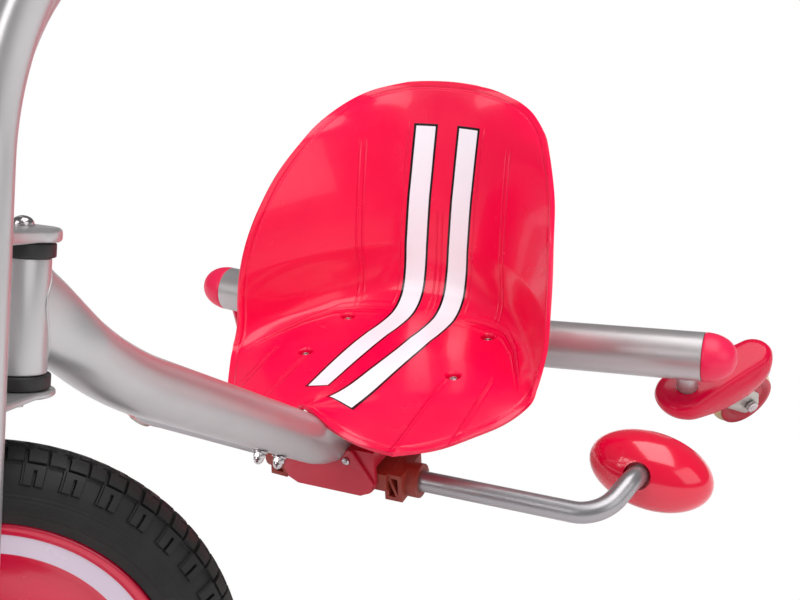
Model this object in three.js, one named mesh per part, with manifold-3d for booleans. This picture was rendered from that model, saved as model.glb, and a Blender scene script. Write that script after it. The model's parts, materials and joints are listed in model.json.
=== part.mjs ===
// A low drift trike: a raked and pedalled front wheel, a moulded bucket seat on one bent
// tube, two trailing casters on inclined kingpins, and two sprung spark levers.
// Millimetres. X points forward, Y to the rider's left, Z up.
import * as THREE from 'three';
import { mergeVertices } from 'three/addons/utils/BufferGeometryUtils.js';
import Module from 'manifold-3d';

const wasm = await Module();
wasm.setup();

// Fits that every piece shares
const CLEARANCE = 0.3;
const OVERRUN = 6;
const DEGREE = Math.PI / 180;

// Rear cross tube
const CROSS_RADIUS = 25;
const CROSS_WALL = 2;
const CROSS_HEIGHT = 108;
const CROSS_HALF = 280;
const CROSS_STRAIGHT_HALF = 92;
const CROSS_RISE = 9.5;
const CROSS_SWEEP = 7;
const CAP_DOME = 33;
const CAP_PLUG = 20;
const CAP_WALL = 3;
const CAP_PLUG_GAP = 0.9;
const capBluntPower = 0.9;

// Head tube and its steering axis. The foot is where the axis meets the lower nut.
const STEER_REACH = 78;
const STEER_FOOT_Z = 319;
const RAKE = 18.6 * DEGREE;
const STEER_ANGLE = -46 * DEGREE;
const HEAD_RADIUS = 16;
const HEAD_BORE = 13;
const HEAD_START = 20.8;
const HEAD_LENGTH = 65;
const CUP_RADIUS = 18.2;
const CUP_LENGTH = 8;
const CUP_SPIGOT = 7;
const STEER_BOLT_RADIUS = 4;

// Main tube, from the head tube down to the cross tube
const MAIN_RADIUS = 21;
const MAIN_WALL = 2;
const MAIN_JOIN = 63;
const KNEE_REACH = 262;
const KNEE_Z = 303;
const KNEE_BEND = 320;
const HIP_SETBACK = 38;
const HIP_BEND = 120;

// Fork, clamp plates and handlebar, along the steering axis from its foot
const BAR_RADIUS = 11.1;
const BAR_WALL = 2;
const BAR_OFFSET = 16.5;
const BAR_SPREAD = 52;
const BAR_BEND_START = 137;
const BAR_BEND_RADIUS = 170;
const BAR_BEND_ANGLE = 48 * DEGREE;
const BAR_FLARE_ANGLE = 45 * DEGREE;
const BAR_RISER = 190;
const BAR_HAND = 118;
const BAR_HAND_BEND = 50;
const barHandBackShare = 0.62;
const barHandDropShare = 0.1;
const PLATE_REAR_RADIUS = 21;
const PLATE_SIDE_RADIUS = 15;
const UPPER_PLATE = 8;
const LOWER_PLATE = 5.5;
const PLATE_GAP = 0.6;
const STEER_NUT = 7;
const STEER_NUT_RADIUS = 7.5;
const DOME_HEIGHT = 5.5;
const DOME_RADIUS = 6;
const CROSSBAR_RADIUS = 8;
const CROSSBAR_RISE = 262;
const GRIP_RADIUS = 15.5;
const GRIP_LENGTH = 108;
const GRIP_END = 5;
const GRIP_FIT = 0.8;
const GRIP_RIB = 1.2;
const gripRibStartShare = 0.4;

// Front wheel, its one-piece crank and the pedals
const TYRE_RADIUS = 158.5;
const TYRE_SECTION = 25.5;
const TYRE_BEAD_ANGLE = 130 * DEGREE;
const TYRE_HEIGHT = 42.5;
const RIM_WIDTH_HALF = 17;
const RIM_FLANGE = 8;
const RIM_FLOOR = 9;
const WEB_HALF = 3;
const HUB_RADIUS = 17;
const CRANK_RADIUS = 7;
const CRANK_BEND = 12;
const CRANK_LENGTH = 100;
const CRANK_ARM = 75;
const CRANK_TOE = 12;
const AXLE_BLOCK = [26, 24, 34];
const PEDAL_WIDTH = 74;
const PEDAL_LENGTH = 58;
const PEDAL_THICK = 22;
const PEDAL_GAP = 14;
const PEDAL_RIB = 3;

// Bucket seat
const SEAT_WALL = 4;
const seatHoleRearShare = 0.278125;
const seatHoleFrontShare = 0.5625;
const SEAT_HOLE_SPREAD = 79;
const SEAT_PLATE = 4;
const SEAT_PLATE_MARGIN = 20;
const SEAT_BOSS_RADIUS = 12.5;
const SEAT_BORE_RADIUS = 8.6;
const SEAT_BORE_DEPTH = 4.5;
const SEAT_BOSS_REAR = 7;
const SEAT_BOSS_FRONT = 8.5;
const SEAT_REAR = -17;
const SEAT_LENGTH = 320;
const SEAT_HEIGHT = 250;
const SEAT_HALF = 162;
const SEAT_LIP_DROP = 8;
const SEAT_BOLT_HEAD = 5;
const SEAT_BOLT_HEAD_HEIGHT = 3;
const SEAT_BOLT_RADIUS = 3;
const SEAT_NUT_RADIUS = 6.2;
const SEAT_NUT_HEIGHT = 5;

// Spark levers and the housing that carries them
const HOUSING_SETBACK = 60;
const HOUSING_LENGTH = 65;
const HOUSING_HALF = 46;
const HOUSING_DROP = 42;
const HOUSING_CREST = 3;
const HOUSING_CORNER = 14;
const COVER_THICK = 3;
const COVER_TOP_HALF = 26;
const SCREW_SPREAD = 20;
const SCREW_RISE = 34;
const SCREW_HEAD = 3.6;
const SCREW_RADIUS = 2;
const SCREW_LENGTH = 8;
const PIN_RADIUS = 4;
const PIN_INSET = 10;
const PIN_RISE = 13;
const CHEEK = 10;
const SLOT_DEPTH = 26;
const SLOT_HEIGHT = 29;
const BARREL_RADIUS = 10.5;
const SPRING_LENGTH = 12;
const SPRING_RADIUS = 9;
const KNUCKLE_REACH = 27;
const KNUCKLE_GAP = 4.5;
const KNUCKLE_HALF = 13.5;
const KNUCKLE_LIFT = 1.5;
const KNUCKLE_TRIM = 3;
const KNUCKLE_RIB = 4;
const KNUCKLE_POCKET = 14;
const COLLAR_RADIUS = 16;
const COLLAR_LENGTH = 10;
const ROD_RADIUS = 9.5;
const ROD_WALL = 2;
const ROD_LEAD = 33;
const ROD_LIFT = 5.3;
const ROD_CORNER_Y = 243;
const ROD_BEND = 38;
const ROD_TAIL = [-71, 26, 22];
const KNOB_BACK = 83;
const KNOB_OUT = 24;
const KNOB_LIFT = 3.7;
const KNOB_LENGTH_HALF = 57;
const KNOB_RADIUS = 35;
const KNOB_TILT = 10 * DEGREE;
const KNOB_MOUTH_RADIUS = 12.5;
const KNOB_MOUTH_DEPTH = 9;
const PAD_RADIUS = 13;
const PAD_BACK = 8;
const PAD_DROP = 37.5;
const PAD_DEPTH = 13;
const STUD_PLACES = [86, 119];
const FAR_LEVER_RAISE = 3.5 * DEGREE;
const FAR_ROD_TWIST = 20 * DEGREE;
const FAR_KNOB_TURN = 25 * DEGREE;
const STUD_RADIUS = 3;
const STUD_LENGTH = 14;
const WASHER_RADIUS = 6.5;
const WASHER = 1.2;
const STUD_NUT_RADIUS = 5.4;
const STUD_NUT = 4.5;

// Casters, on kingpins that lean forward at the top
const KINGPIN_LEAN = 26 * DEGREE;
const CASTER_TURN = 43.6 * DEGREE;
const KINGPIN_INSET = 18;
const KINGPIN_RADIUS = 9;
const KINGPIN_COLLAR = 11;
const KINGPIN_REACH = 51;
const KINGPIN_TAIL = 17;
const KINGPIN_WALL_GAP = 2;
const TRAIL = 66;
const CASTER_RADIUS = 36;
const CASTER_CROWN = 11;
const CASTER_SEAT_RADIUS = 27;
const CASTER_FLANGE_RADIUS = 32;
const CASTER_FLANGE = 2.2;
const CASTER_CORE_HALF = 12.5;
const CASTER_AXLE = 4;
const CASTER_NUT = 7;
const CASTER_NUT_HEIGHT = 6;
const ARM_THICK = 4;
const ARM_HALF = 11;
const ARM_GAP = 1.2;
const BRACKET_THICK = 5;
const FENDER_WALL = 2.5;
const FENDER_TOP = 1;
const FENDER_NOSE_DEPTH = 24;
const FENDER_TAIL_DEPTH = 40;
const FENDER_NOSE = 29;
const FENDER_LEAD = 6;
const FENDER_TAIL = 21.5;
const FENDER_REACH = 80;

// Places that follow from the sizes above: the frame in front of the seat keeps its distance
// from the seat's front, and the housing and levers hang from the frame.
const seatHoleRear = SEAT_REAR + SEAT_LENGTH * seatHoleRearShare;
const seatHoleFront = SEAT_REAR + SEAT_LENGTH * seatHoleFrontShare;
const hipX = SEAT_REAR + SEAT_LENGTH - HIP_SETBACK;
const kneeX = hipX + KNEE_REACH;
const steerFootX = kneeX + STEER_REACH;
const housingRear = hipX - HOUSING_SETBACK;
const housingFront = housingRear + HOUSING_LENGTH;
const housingFloor = CROSS_HEIGHT - HOUSING_DROP;
const housingRoof = CROSS_HEIGHT + HOUSING_CREST;
const pinSpread = HOUSING_HALF - PIN_INSET;
const rodX = housingRear + ROD_LEAD;
const rodZ = housingFloor + ROD_LIFT;
const knobCentre = [rodX - KNOB_BACK, ROD_CORNER_Y + KNOB_OUT, rodZ + KNOB_LIFT];
const padFoot = knobCentre[2] - PAD_DROP;

const xAxis = new THREE.Vector3(1, 0, 0);
const yAxis = new THREE.Vector3(0, 1, 0);
const zAxis = new THREE.Vector3(0, 0, 1);
const vector = (x, y, z) => new THREE.Vector3(x, y, z);

const finishes = {
  silver: [0xb9bbbf, 0.35, 0.85],
  crimson: [0xe0103c, 0.25, 0.0],
  casing: [0xa8243a, 0.45, 0.0],
  knuckle: [0x93392b, 0.6, 0.0],
  black: [0x1b1b1d, 0.6, 0.0],
  rubber: [0x161618, 0.85, 0.0],
  steel: [0xc8c8cc, 0.25, 1.0],
  urethane: [0xd9c9a0, 0.45, 0.0],
  brass: [0x9a948c, 0.5, 0.9],
};

// Every mesh gets its own material, so that it can be changed alone.
function piece(name, geometry, finish) {
  const [color, roughness, metalness] = finishes[finish];
  const material = new THREE.MeshStandardMaterial({ color, roughness, metalness });
  const mesh = new THREE.Mesh(geometry, material);
  mesh.name = name;
  return mesh;
}

// Shared corners are merged, triangles that closed up are dropped, and the faces point out.
function closed(source) {
  const plain = source.clone();
  plain.deleteAttribute('normal');
  plain.deleteAttribute('uv');
  const merged = mergeVertices(plain);
  const corners = Array.from(merged.index.array);
  const triangles = [];
  for (let i = 0; i < corners.length; i += 3) {
    const [a, b, c] = corners.slice(i, i + 3);
    if (a !== b && b !== c && c !== a) triangles.push([a, b, c]);
  }
  const place = (i) => new THREE.Vector3().fromBufferAttribute(merged.attributes.position, i);
  const volume = triangles.reduce((sum, [a, b, c]) => sum + place(a).dot(place(b).cross(place(c))), 0);
  if (volume < 0) triangles.forEach((triangle) => triangle.reverse());
  merged.setIndex(triangles.flat());
  return merged;
}

function solid(geometry) {
  const merged = closed(geometry);
  return new wasm.Manifold(new wasm.Mesh({
    numProp: 3,
    vertProperties: new Float32Array(merged.attributes.position.array),
    triVerts: new Uint32Array(merged.index.array),
  }));
}

function meshed(manifold) {
  const mesh = manifold.getMesh();
  const geometry = new THREE.BufferGeometry();
  geometry.setAttribute('position', new THREE.BufferAttribute(mesh.vertProperties, 3));
  geometry.setIndex(new THREE.BufferAttribute(mesh.triVerts, 1));
  return geometry;
}

// The first geometry with some joined on and others cut away
function carved(base, joins, cuts) {
  let result = solid(base);
  for (const join of joins) result = result.add(solid(join));
  for (const cut of cuts) result = result.subtract(solid(cut));
  return meshed(result);
}

// A round bar from one point to another
function bar(radius, from, to, sides = 16) {
  const run = to.clone().sub(from);
  const geometry = new THREE.CylinderGeometry(radius, radius, run.length(), sides);
  const turn = new THREE.Quaternion().setFromUnitVectors(yAxis, run.clone().normalize());
  geometry.applyQuaternion(turn);
  const middle = from.clone().addScaledVector(run, 0.5);
  return geometry.translate(middle.x, middle.y, middle.z);
}

function block(sizeX, sizeY, sizeZ, centre) {
  return new THREE.BoxGeometry(sizeX, sizeY, sizeZ).translate(centre.x, centre.y, centre.z);
}

// A profile of [radius, height] pairs turned about the Z axis
function turned(profile, segments) {
  const points = profile.map(([radius, height]) => new THREE.Vector2(radius, height));
  return closed(new THREE.LatheGeometry(points, segments).rotateX(Math.PI / 2));
}

// A turned piece whose axis is laid along a direction
function turnedAlong(profile, segments, direction, origin) {
  const turn = new THREE.Quaternion().setFromUnitVectors(zAxis, direction.clone().normalize());
  return turned(profile, segments).applyQuaternion(turn).translate(origin.x, origin.y, origin.z);
}

// A path through given points, one ring of an extrusion at each
class Route extends THREE.Curve {
  constructor(knots) {
    super();
    this.knots = knots;
  }

  getPoint(t, target = new THREE.Vector3()) {
    const last = this.knots.length - 1;
    const at = Math.min(Math.floor(t * last), last - 1);
    return target.lerpVectors(this.knots[at], this.knots[at + 1], t * last - at);
  }

  getSpacedPoints() {
    return this.knots.map((knot) => knot.clone());
  }

  getTangentAt(u, target = new THREE.Vector3()) {
    const last = this.knots.length - 1;
    const at = Math.round(u * last);
    const before = this.knots[Math.max(at - 1, 0)];
    const after = this.knots[Math.min(at + 1, last)];
    return target.subVectors(after, before).normalize();
  }
}

// Straight runs between corners, with each inner corner rounded to its radius
function rounded(corners, radii, steps = 7) {
  const knots = [corners[0].clone()];
  for (let i = 1; i < corners.length - 1; i += 1) {
    const back = corners[i - 1].clone().sub(corners[i]).normalize();
    const ahead = corners[i + 1].clone().sub(corners[i]).normalize();
    const half = back.angleTo(ahead) / 2;
    const middle = back.clone().add(ahead).normalize();
    const centre = corners[i].clone().addScaledVector(middle, radii[i - 1] / Math.sin(half));
    const reach = radii[i - 1] / Math.tan(half);
    const start = corners[i].clone().addScaledVector(back, reach).sub(centre);
    const axis = new THREE.Vector3().crossVectors(start, middle).normalize();
    const sweep = Math.PI - 2 * half;
    for (let step = 0; step <= steps; step += 1) {
      const spoke = start.clone().applyAxisAngle(axis, -sweep * step / steps);
      knots.push(spoke.add(centre));
    }
  }
  knots.push(corners[corners.length - 1].clone());
  return knots;
}

function circle(radius, sides) {
  const points = [];
  for (let i = 0; i < sides; i += 1) {
    const angle = 2 * Math.PI * i / sides;
    points.push(new THREE.Vector2(radius * Math.cos(angle), radius * Math.sin(angle)));
  }
  return points;
}

// A round tube along knots, hollow where it has an inner radius
function tube(knots, outer, inner, sides, innerSides = sides) {
  const section = new THREE.Shape(circle(outer, sides));
  if (inner > 0) section.holes.push(new THREE.Path(circle(inner, innerSides)));
  const options = { steps: knots.length - 1, extrudePath: new Route(knots) };
  return closed(new THREE.ExtrudeGeometry(section, options));
}

// An outline in the XY plane given thickness from one height to another
function slab(shape, low, high, curveSegments = 10) {
  const options = { depth: high - low, bevelEnabled: false, curveSegments };
  return closed(new THREE.ExtrudeGeometry(shape, options).translate(0, 0, low));
}

// The outline around two circles on the X axis
function teardrop(noseRadius, tailRadius, reach, steps = 10) {
  const slant = Math.acos((noseRadius - tailRadius) / reach);
  const points = [];
  for (let i = 0; i <= steps; i += 1) {
    const angle = -(Math.PI - slant) + 2 * (Math.PI - slant) * i / steps;
    points.push(new THREE.Vector2(noseRadius * Math.cos(angle), noseRadius * Math.sin(angle)));
  }
  for (let i = 0; i <= steps; i += 1) {
    const angle = Math.PI - slant + 2 * slant * i / steps;
    points.push(new THREE.Vector2(tailRadius * Math.cos(angle) - reach, tailRadius * Math.sin(angle)));
  }
  return points;
}

// Closed layers of the same number of points, joined into one skin with flat ends
function layered(layers) {
  const positions = [];
  const count = layers[0].length;
  const at = (layer, i) => layers[layer][i % count];
  const triangle = (a, b, c) => positions.push(a.x, a.y, a.z, b.x, b.y, b.z, c.x, c.y, c.z);
  for (let layer = 0; layer < layers.length - 1; layer += 1) {
    for (let i = 0; i < count; i += 1) {
      triangle(at(layer, i), at(layer, i + 1), at(layer + 1, i + 1));
      triangle(at(layer, i), at(layer + 1, i + 1), at(layer + 1, i));
    }
  }
  for (const [layer, flip] of [[0, true], [layers.length - 1, false]]) {
    const middle = layers[layer].reduce((sum, point) => sum.add(point), vector(0, 0, 0));
    middle.divideScalar(count);
    for (let i = 0; i < count; i += 1) {
      if (flip) triangle(middle, at(layer, i + 1), at(layer, i));
      else triangle(middle, at(layer, i), at(layer, i + 1));
    }
  }
  const geometry = new THREE.BufferGeometry();
  geometry.setAttribute('position', new THREE.Float32BufferAttribute(positions, 3));
  return closed(geometry);
}

const sides = { left: 1, right: -1 };
const steerUp = vector(-Math.sin(RAKE), 0, Math.cos(RAKE));
const steerFoot = vector(steerFootX, 0, STEER_FOOT_Z);
const alongSteer = (height) => steerFoot.clone().addScaledVector(steerUp, height);
const headTop = HEAD_START + HEAD_LENGTH;

// Routes of the welded frame
const kneeCorner = vector(kneeX, 0, KNEE_Z);
const hipCorner = vector(hipX, 0, CROSS_HEIGHT);
const mainKnots = rounded(
  [alongSteer(MAIN_JOIN), kneeCorner, hipCorner, vector(0, 0, CROSS_HEIGHT)],
  [KNEE_BEND, HIP_BEND],
  5,
);
const crossEnd = (side) => vector(-CROSS_SWEEP, side * CROSS_HALF, CROSS_HEIGHT + CROSS_RISE);
const crossBreak = (side) => vector(0, side * CROSS_STRAIGHT_HALF, CROSS_HEIGHT);
const crossDirection = (side) => crossEnd(side).sub(crossBreak(side)).normalize();
const kingpinCentre = (side) => crossEnd(side).addScaledVector(crossDirection(side), -KINGPIN_INSET);
const mainEnvelope = (gap) => tube(mainKnots, MAIN_RADIUS + gap, 0, 20);

function crossKnots() {
  const breaks = [crossBreak(1), crossBreak(-1)];
  return [crossEnd(1), ...breaks, crossEnd(-1)];
}

const kingpinUp = vector(Math.sin(KINGPIN_LEAN), 0, Math.cos(KINGPIN_LEAN));

function kingpinHole(side) {
  const centre = kingpinCentre(side);
  const below = centre.clone().addScaledVector(kingpinUp, -CROSS_RADIUS - OVERRUN);
  return bar(KINGPIN_RADIUS + CLEARANCE, below, centre, 16);
}

function frameTubes() {
  const head = turnedAlong([
    [HEAD_BORE, 0],
    [HEAD_RADIUS, 0],
    [HEAD_RADIUS, HEAD_LENGTH],
    [HEAD_BORE, HEAD_LENGTH],
    [HEAD_BORE, 0],
  ], 22, steerUp, alongSteer(HEAD_START));
  const headEnvelope = bar(
    HEAD_RADIUS + CLEARANCE,
    alongSteer(HEAD_START - OVERRUN),
    alongSteer(headTop + OVERRUN),
    24,
  );
  const crossEnvelope = tube(crossKnots(), CROSS_RADIUS + CLEARANCE, 0, 24);
  const beyondHead = block(
    HEAD_LENGTH + MAIN_RADIUS,
    2 * MAIN_RADIUS + OVERRUN,
    2 * HEAD_LENGTH,
    vector(steerFootX + HEAD_RADIUS, 0, STEER_FOOT_Z + HEAD_LENGTH),
  );
  const studs = STUD_PLACES.map((place) => studHole(place));
  const main = carved(
    tube(mainKnots, MAIN_RADIUS, MAIN_RADIUS - MAIN_WALL, 20, 10),
    [],
    [headEnvelope, beyondHead, crossEnvelope, ...studs],
  );
  const cross = carved(
    tube(crossKnots(), CROSS_RADIUS, CROSS_RADIUS - CROSS_WALL, 24, 16),
    [],
    [kingpinHole(1), kingpinHole(-1)],
  );
  return [
    piece('head_tube', head, 'silver'),
    piece('main_tube', main, 'silver'),
    piece('cross_tube', cross, 'silver'),
  ];
}

function endCap(name, side) {
  const inner = CROSS_RADIUS - CROSS_WALL - CAP_PLUG_GAP;
  const profile = [[0, -CAP_WALL], [inner - CAP_WALL, -CAP_WALL], [inner - CAP_WALL, -CAP_PLUG]];
  profile.push([inner, -CAP_PLUG], [inner, CLEARANCE], [CROSS_RADIUS, CLEARANCE]);
  const steps = 6;
  for (let i = 1; i <= steps; i += 1) {
    const angle = (Math.PI / 2) * i / steps;
    const rise = CLEARANCE + (CAP_DOME - CLEARANCE) * Math.sin(angle);
    profile.push([i === steps ? 0 : CROSS_RADIUS * Math.cos(angle) ** capBluntPower, rise]);
  }
  const hole = kingpinEnvelope(side);
  const cap = turnedAlong(profile, 22, crossDirection(side), crossEnd(side));
  return piece(name, carved(cap, [], [hole]), 'crimson');
}

// Space that the kingpin's head takes inside the cross tube
function kingpinEnvelope(side) {
  const centre = kingpinCentre(side);
  const reach = kingpinUp.clone().multiplyScalar(CROSS_RADIUS);
  return bar(KINGPIN_RADIUS + KINGPIN_WALL_GAP, centre.clone().sub(reach), centre.clone().add(reach));
}

function bearingCup(name, low) {
  const spigot = HEAD_BORE - CLEARANCE;
  const bore = STEER_BOLT_RADIUS + CLEARANCE;
  const up = low ? -1 : 1;
  const seat = low ? HEAD_START : headTop;
  const profile = [
    [bore, -up * CUP_SPIGOT],
    [spigot, -up * CUP_SPIGOT],
    [spigot, up * CLEARANCE],
    [CUP_RADIUS, up * CLEARANCE],
    [CUP_RADIUS, up * (CLEARANCE + CUP_LENGTH)],
    [bore, up * (CLEARANCE + CUP_LENGTH)],
    [bore, -up * CUP_SPIGOT],
  ];
  return piece(name, turnedAlong(profile, 20, steerUp, alongSteer(seat)), 'black');
}

// A stud below the main tube, placed by its distance from the hip corner
const mainRun = kneeCorner.clone().sub(hipCorner).normalize();
const mainDown = new THREE.Vector3().crossVectors(mainRun, yAxis).negate();
if (mainDown.z > 0) mainDown.negate();
const studFoot = (place) => hipCorner.clone().addScaledVector(mainRun, place);

function studHole(place) {
  const centre = studFoot(place);
  const end = centre.clone().addScaledVector(mainDown, MAIN_RADIUS + OVERRUN);
  return bar(STUD_RADIUS + CLEARANCE, centre, end, 10);
}

function domeNut(name, place) {
  const face = MAIN_RADIUS + CLEARANCE;
  const seat = face + WASHER;
  const top = seat + STUD_NUT;
  const washer = [[0, face], [WASHER_RADIUS, face], [WASHER_RADIUS, seat], [0, seat]];
  const nut = [[0, seat - WASHER / 2], [STUD_NUT_RADIUS, seat - WASHER / 2], [STUD_NUT_RADIUS, top], [0, top]];
  const dome = [[0, seat], [STUD_NUT_RADIUS - WASHER, seat], [STUD_NUT_RADIUS - WASHER, top]];
  for (let i = 1; i <= 4; i += 1) {
    const angle = (Math.PI / 2) * i / 4;
    const radius = (STUD_NUT_RADIUS - WASHER) * Math.cos(angle);
    dome.push([i === 4 ? 0 : radius, top + STUD_NUT_RADIUS * Math.sin(angle)]);
  }
  const shank = [[0, seat - STUD_LENGTH], [STUD_RADIUS, seat - STUD_LENGTH], [STUD_RADIUS, seat], [0, seat]];
  const centre = studFoot(place);
  const laid = (profile, segments) => turnedAlong(profile, segments, mainDown, centre);
  const joins = [laid(nut, 6), laid(dome, 10), laid(shank, 10)];
  return piece(name, carved(laid(washer, 16), joins, []), 'steel');
}

const platePlane = CROSS_HEIGHT + MAIN_RADIUS + CLEARANCE;
const plateTop = platePlane + SEAT_PLATE;
const bossFoot = plateTop + CLEARANCE;
const boreFloor = bossFoot + SEAT_BORE_DEPTH;

// Seat stations from the top of the back to the front lip, as shares of the seat's length,
// half width and height: the middle's X and Z, and the rim's X, Y and Z.
const seatStationShares = [
  [[0.003, 1], [0.006, 0.235, 0.992]],
  [[0.006, 0.976], [0.02, 0.456, 0.958]],
  [[0.011, 0.936], [0.05, 0.613, 0.914]],
  [[0.017, 0.88], [0.12, 0.735, 0.854]],
  [[0.025, 0.812], [0.195, 0.804, 0.792]],
  [[0.038, 0.712], [0.3, 0.896, 0.672]],
  [[0.053, 0.592], [0.385, 0.945, 0.552]],
  [[0.069, 0.472], [0.447, 0.98, 0.432]],
  [[0.084, 0.34], [0.49, 0.997, 0.312]],
  [[0.1, 0.224], [0.512, 1, 0.212]],
  [[0.131, 0.132], [0.528, 0.99, 0.152]],
  [[0.194, 0.082], [0.547, 0.982, 0.108]],
  [[0.303, 0.068], [0.572, 0.978, 0.076]],
  [[0.459, 0.077], [0.609, 0.969, 0.031]],
  [[0.616, 0.088], [0.681, 0.901, -0.005]],
  [[0.772, 0.1], [0.772, 0.796, -0.015]],
  [[0.897, 0.13], [0.884, 0.654, -0.009]],
  [[1, 0.18], [0.972, 0.481, 0.011]],
];
const seatBackPower = 2.3;
const seatPanPower = 3.6;
const seatPanStart = 8;
const seatPanFull = 11;
const seatLipPower = 1.9;
const seatLipStart = 13;
const seatColumns = 16;

// How far a point across the seat has moved from the middle's height to the rim's
function seatBlend(share, row) {
  const pan = THREE.MathUtils.clamp((row - seatPanStart) / (seatPanFull - seatPanStart), 0, 1);
  const bowl = share ** THREE.MathUtils.lerp(seatBackPower, seatPanPower, pan);
  const lip = 1 - (1 - share) ** seatLipPower;
  const last = seatStationShares.length - 1;
  const weight = THREE.MathUtils.clamp((row - seatLipStart) / (last - seatLipStart), 0, 1);
  return THREE.MathUtils.lerp(bowl, lip, weight);
}

function seatPoint(row, column) {
  const across = 2 * column / seatColumns - 1;
  const [[middleX, middleZ], [rimX, rimY, rimZ]] = seatStationShares[row];
  const blend = seatBlend(Math.abs(across), row);
  return vector(
    SEAT_REAR + SEAT_LENGTH * THREE.MathUtils.lerp(middleX, rimX, blend),
    SEAT_HALF * rimY * across,
    plateTop - SEAT_LIP_DROP + SEAT_HEIGHT * THREE.MathUtils.lerp(middleZ, rimZ, blend),
  );
}

// A closed skin around the seat's surface and its copy one wall further out
function seatSkin() {
  const rows = seatStationShares.length;
  const upper = [];
  for (let row = 0; row < rows; row += 1) {
    upper.push(Array.from({ length: seatColumns + 1 }, (_, column) => seatPoint(row, column)));
  }
  const clampRow = (row) => Math.min(Math.max(row, 0), rows - 1);
  const clampColumn = (column) => Math.min(Math.max(column, 0), seatColumns);
  const lower = upper.map((line, row) => line.map((point, column) => {
    const down = upper[clampRow(row + 1)][column].clone().sub(upper[clampRow(row - 1)][column]);
    const across = line[clampColumn(column + 1)].clone().sub(line[clampColumn(column - 1)]);
    const normal = new THREE.Vector3().crossVectors(down, across).normalize();
    return point.clone().addScaledVector(normal, -SEAT_WALL);
  }));
  const positions = [];
  const quad = (a, b, c, d) => {
    positions.push(a.x, a.y, a.z, b.x, b.y, b.z, c.x, c.y, c.z);
    positions.push(a.x, a.y, a.z, c.x, c.y, c.z, d.x, d.y, d.z);
  };
  for (let row = 0; row < rows - 1; row += 1) {
    for (let column = 0; column < seatColumns; column += 1) {
      const corners = [[row, column], [row + 1, column], [row + 1, column + 1], [row, column + 1]];
      quad(...corners.map(([r, c]) => upper[r][c]));
      quad(...corners.reverse().map(([r, c]) => lower[r][c]));
    }
  }
  for (let column = 0; column < seatColumns; column += 1) {
    quad(upper[0][column], upper[0][column + 1], lower[0][column + 1], lower[0][column]);
    const end = rows - 1;
    quad(upper[end][column + 1], upper[end][column], lower[end][column], lower[end][column + 1]);
  }
  for (let row = 0; row < rows - 1; row += 1) {
    quad(upper[row + 1][0], upper[row][0], lower[row][0], lower[row + 1][0]);
    const end = seatColumns;
    quad(upper[row][end], upper[row + 1][end], lower[row + 1][end], lower[row][end]);
  }
  const geometry = new THREE.BufferGeometry();
  geometry.setAttribute('position', new THREE.Float32BufferAttribute(positions, 3));
  return closed(geometry);
}

const seatHoles = [
  ['rear_left', seatHoleRear, SEAT_HOLE_SPREAD, SEAT_BOSS_REAR],
  ['rear_right', seatHoleRear, -SEAT_HOLE_SPREAD, SEAT_BOSS_REAR],
  ['front_left', seatHoleFront, SEAT_HOLE_SPREAD, SEAT_BOSS_FRONT],
  ['front_right', seatHoleFront, -SEAT_HOLE_SPREAD, SEAT_BOSS_FRONT],
];

function seatShell() {
  const bosses = [];
  const cuts = [mainEnvelope(2 * CLEARANCE)];
  for (const [, x, y, height] of seatHoles) {
    const upright = (radius, low, high) => bar(radius, vector(x, y, low), vector(x, y, high), 16);
    bosses.push(upright(SEAT_BOSS_RADIUS, bossFoot, bossFoot + height));
    cuts.push(upright(SEAT_BORE_RADIUS, boreFloor, boreFloor + 3 * OVERRUN));
    cuts.push(upright(SEAT_BOLT_RADIUS + CLEARANCE, bossFoot - OVERRUN, boreFloor + OVERRUN));
  }
  return piece('seat_shell', carved(seatSkin(), bosses, cuts), 'crimson');
}

function seatPlate() {
  const length = seatHoleFront - seatHoleRear + 2 * SEAT_PLATE_MARGIN;
  const middle = (seatHoleFront + seatHoleRear) / 2;
  const width = 2 * (SEAT_HOLE_SPREAD + SEAT_PLATE_MARGIN);
  const plate = block(length, width, SEAT_PLATE, vector(middle, 0, platePlane + SEAT_PLATE / 2));
  const holes = seatHoles.map(([, x, y]) => bar(
    SEAT_BOLT_RADIUS + CLEARANCE,
    vector(x, y, platePlane - OVERRUN),
    vector(x, y, plateTop + OVERRUN),
    12,
  ));
  return piece('seat_plate', carved(plate, [], holes), 'silver');
}

function seatBolt(name, x, y) {
  const headFoot = boreFloor + CLEARANCE;
  const nutTop = platePlane - CLEARANCE;
  const nutFoot = nutTop - SEAT_NUT_HEIGHT;
  const profile = [
    [0, nutFoot - OVERRUN / 2],
    [SEAT_BOLT_RADIUS, nutFoot - OVERRUN / 2],
    [SEAT_BOLT_RADIUS, nutFoot],
    [SEAT_NUT_RADIUS, nutFoot],
    [SEAT_NUT_RADIUS, nutTop],
    [SEAT_BOLT_RADIUS, nutTop],
    [SEAT_BOLT_RADIUS, headFoot],
    [SEAT_BOLT_HEAD, headFoot],
    [SEAT_BOLT_HEAD, headFoot + SEAT_BOLT_HEAD_HEIGHT / 2],
    [SEAT_BOLT_HEAD / 2, headFoot + SEAT_BOLT_HEAD_HEIGHT],
    [0, headFoot + SEAT_BOLT_HEAD_HEIGHT],
  ];
  return piece(name, turnedAlong(profile, 10, zAxis, vector(x, y, 0)), 'steel');
}

// Spark lever housing: a block below the main tube, open at both sides for the knuckles
const pinHeight = housingFloor + PIN_RISE;
const slotRear = housingRear + CHEEK;
const slotFront = housingFront - CHEEK / 2;
const pinPoint = (x, side) => vector(x, side * pinSpread, pinHeight);

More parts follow.
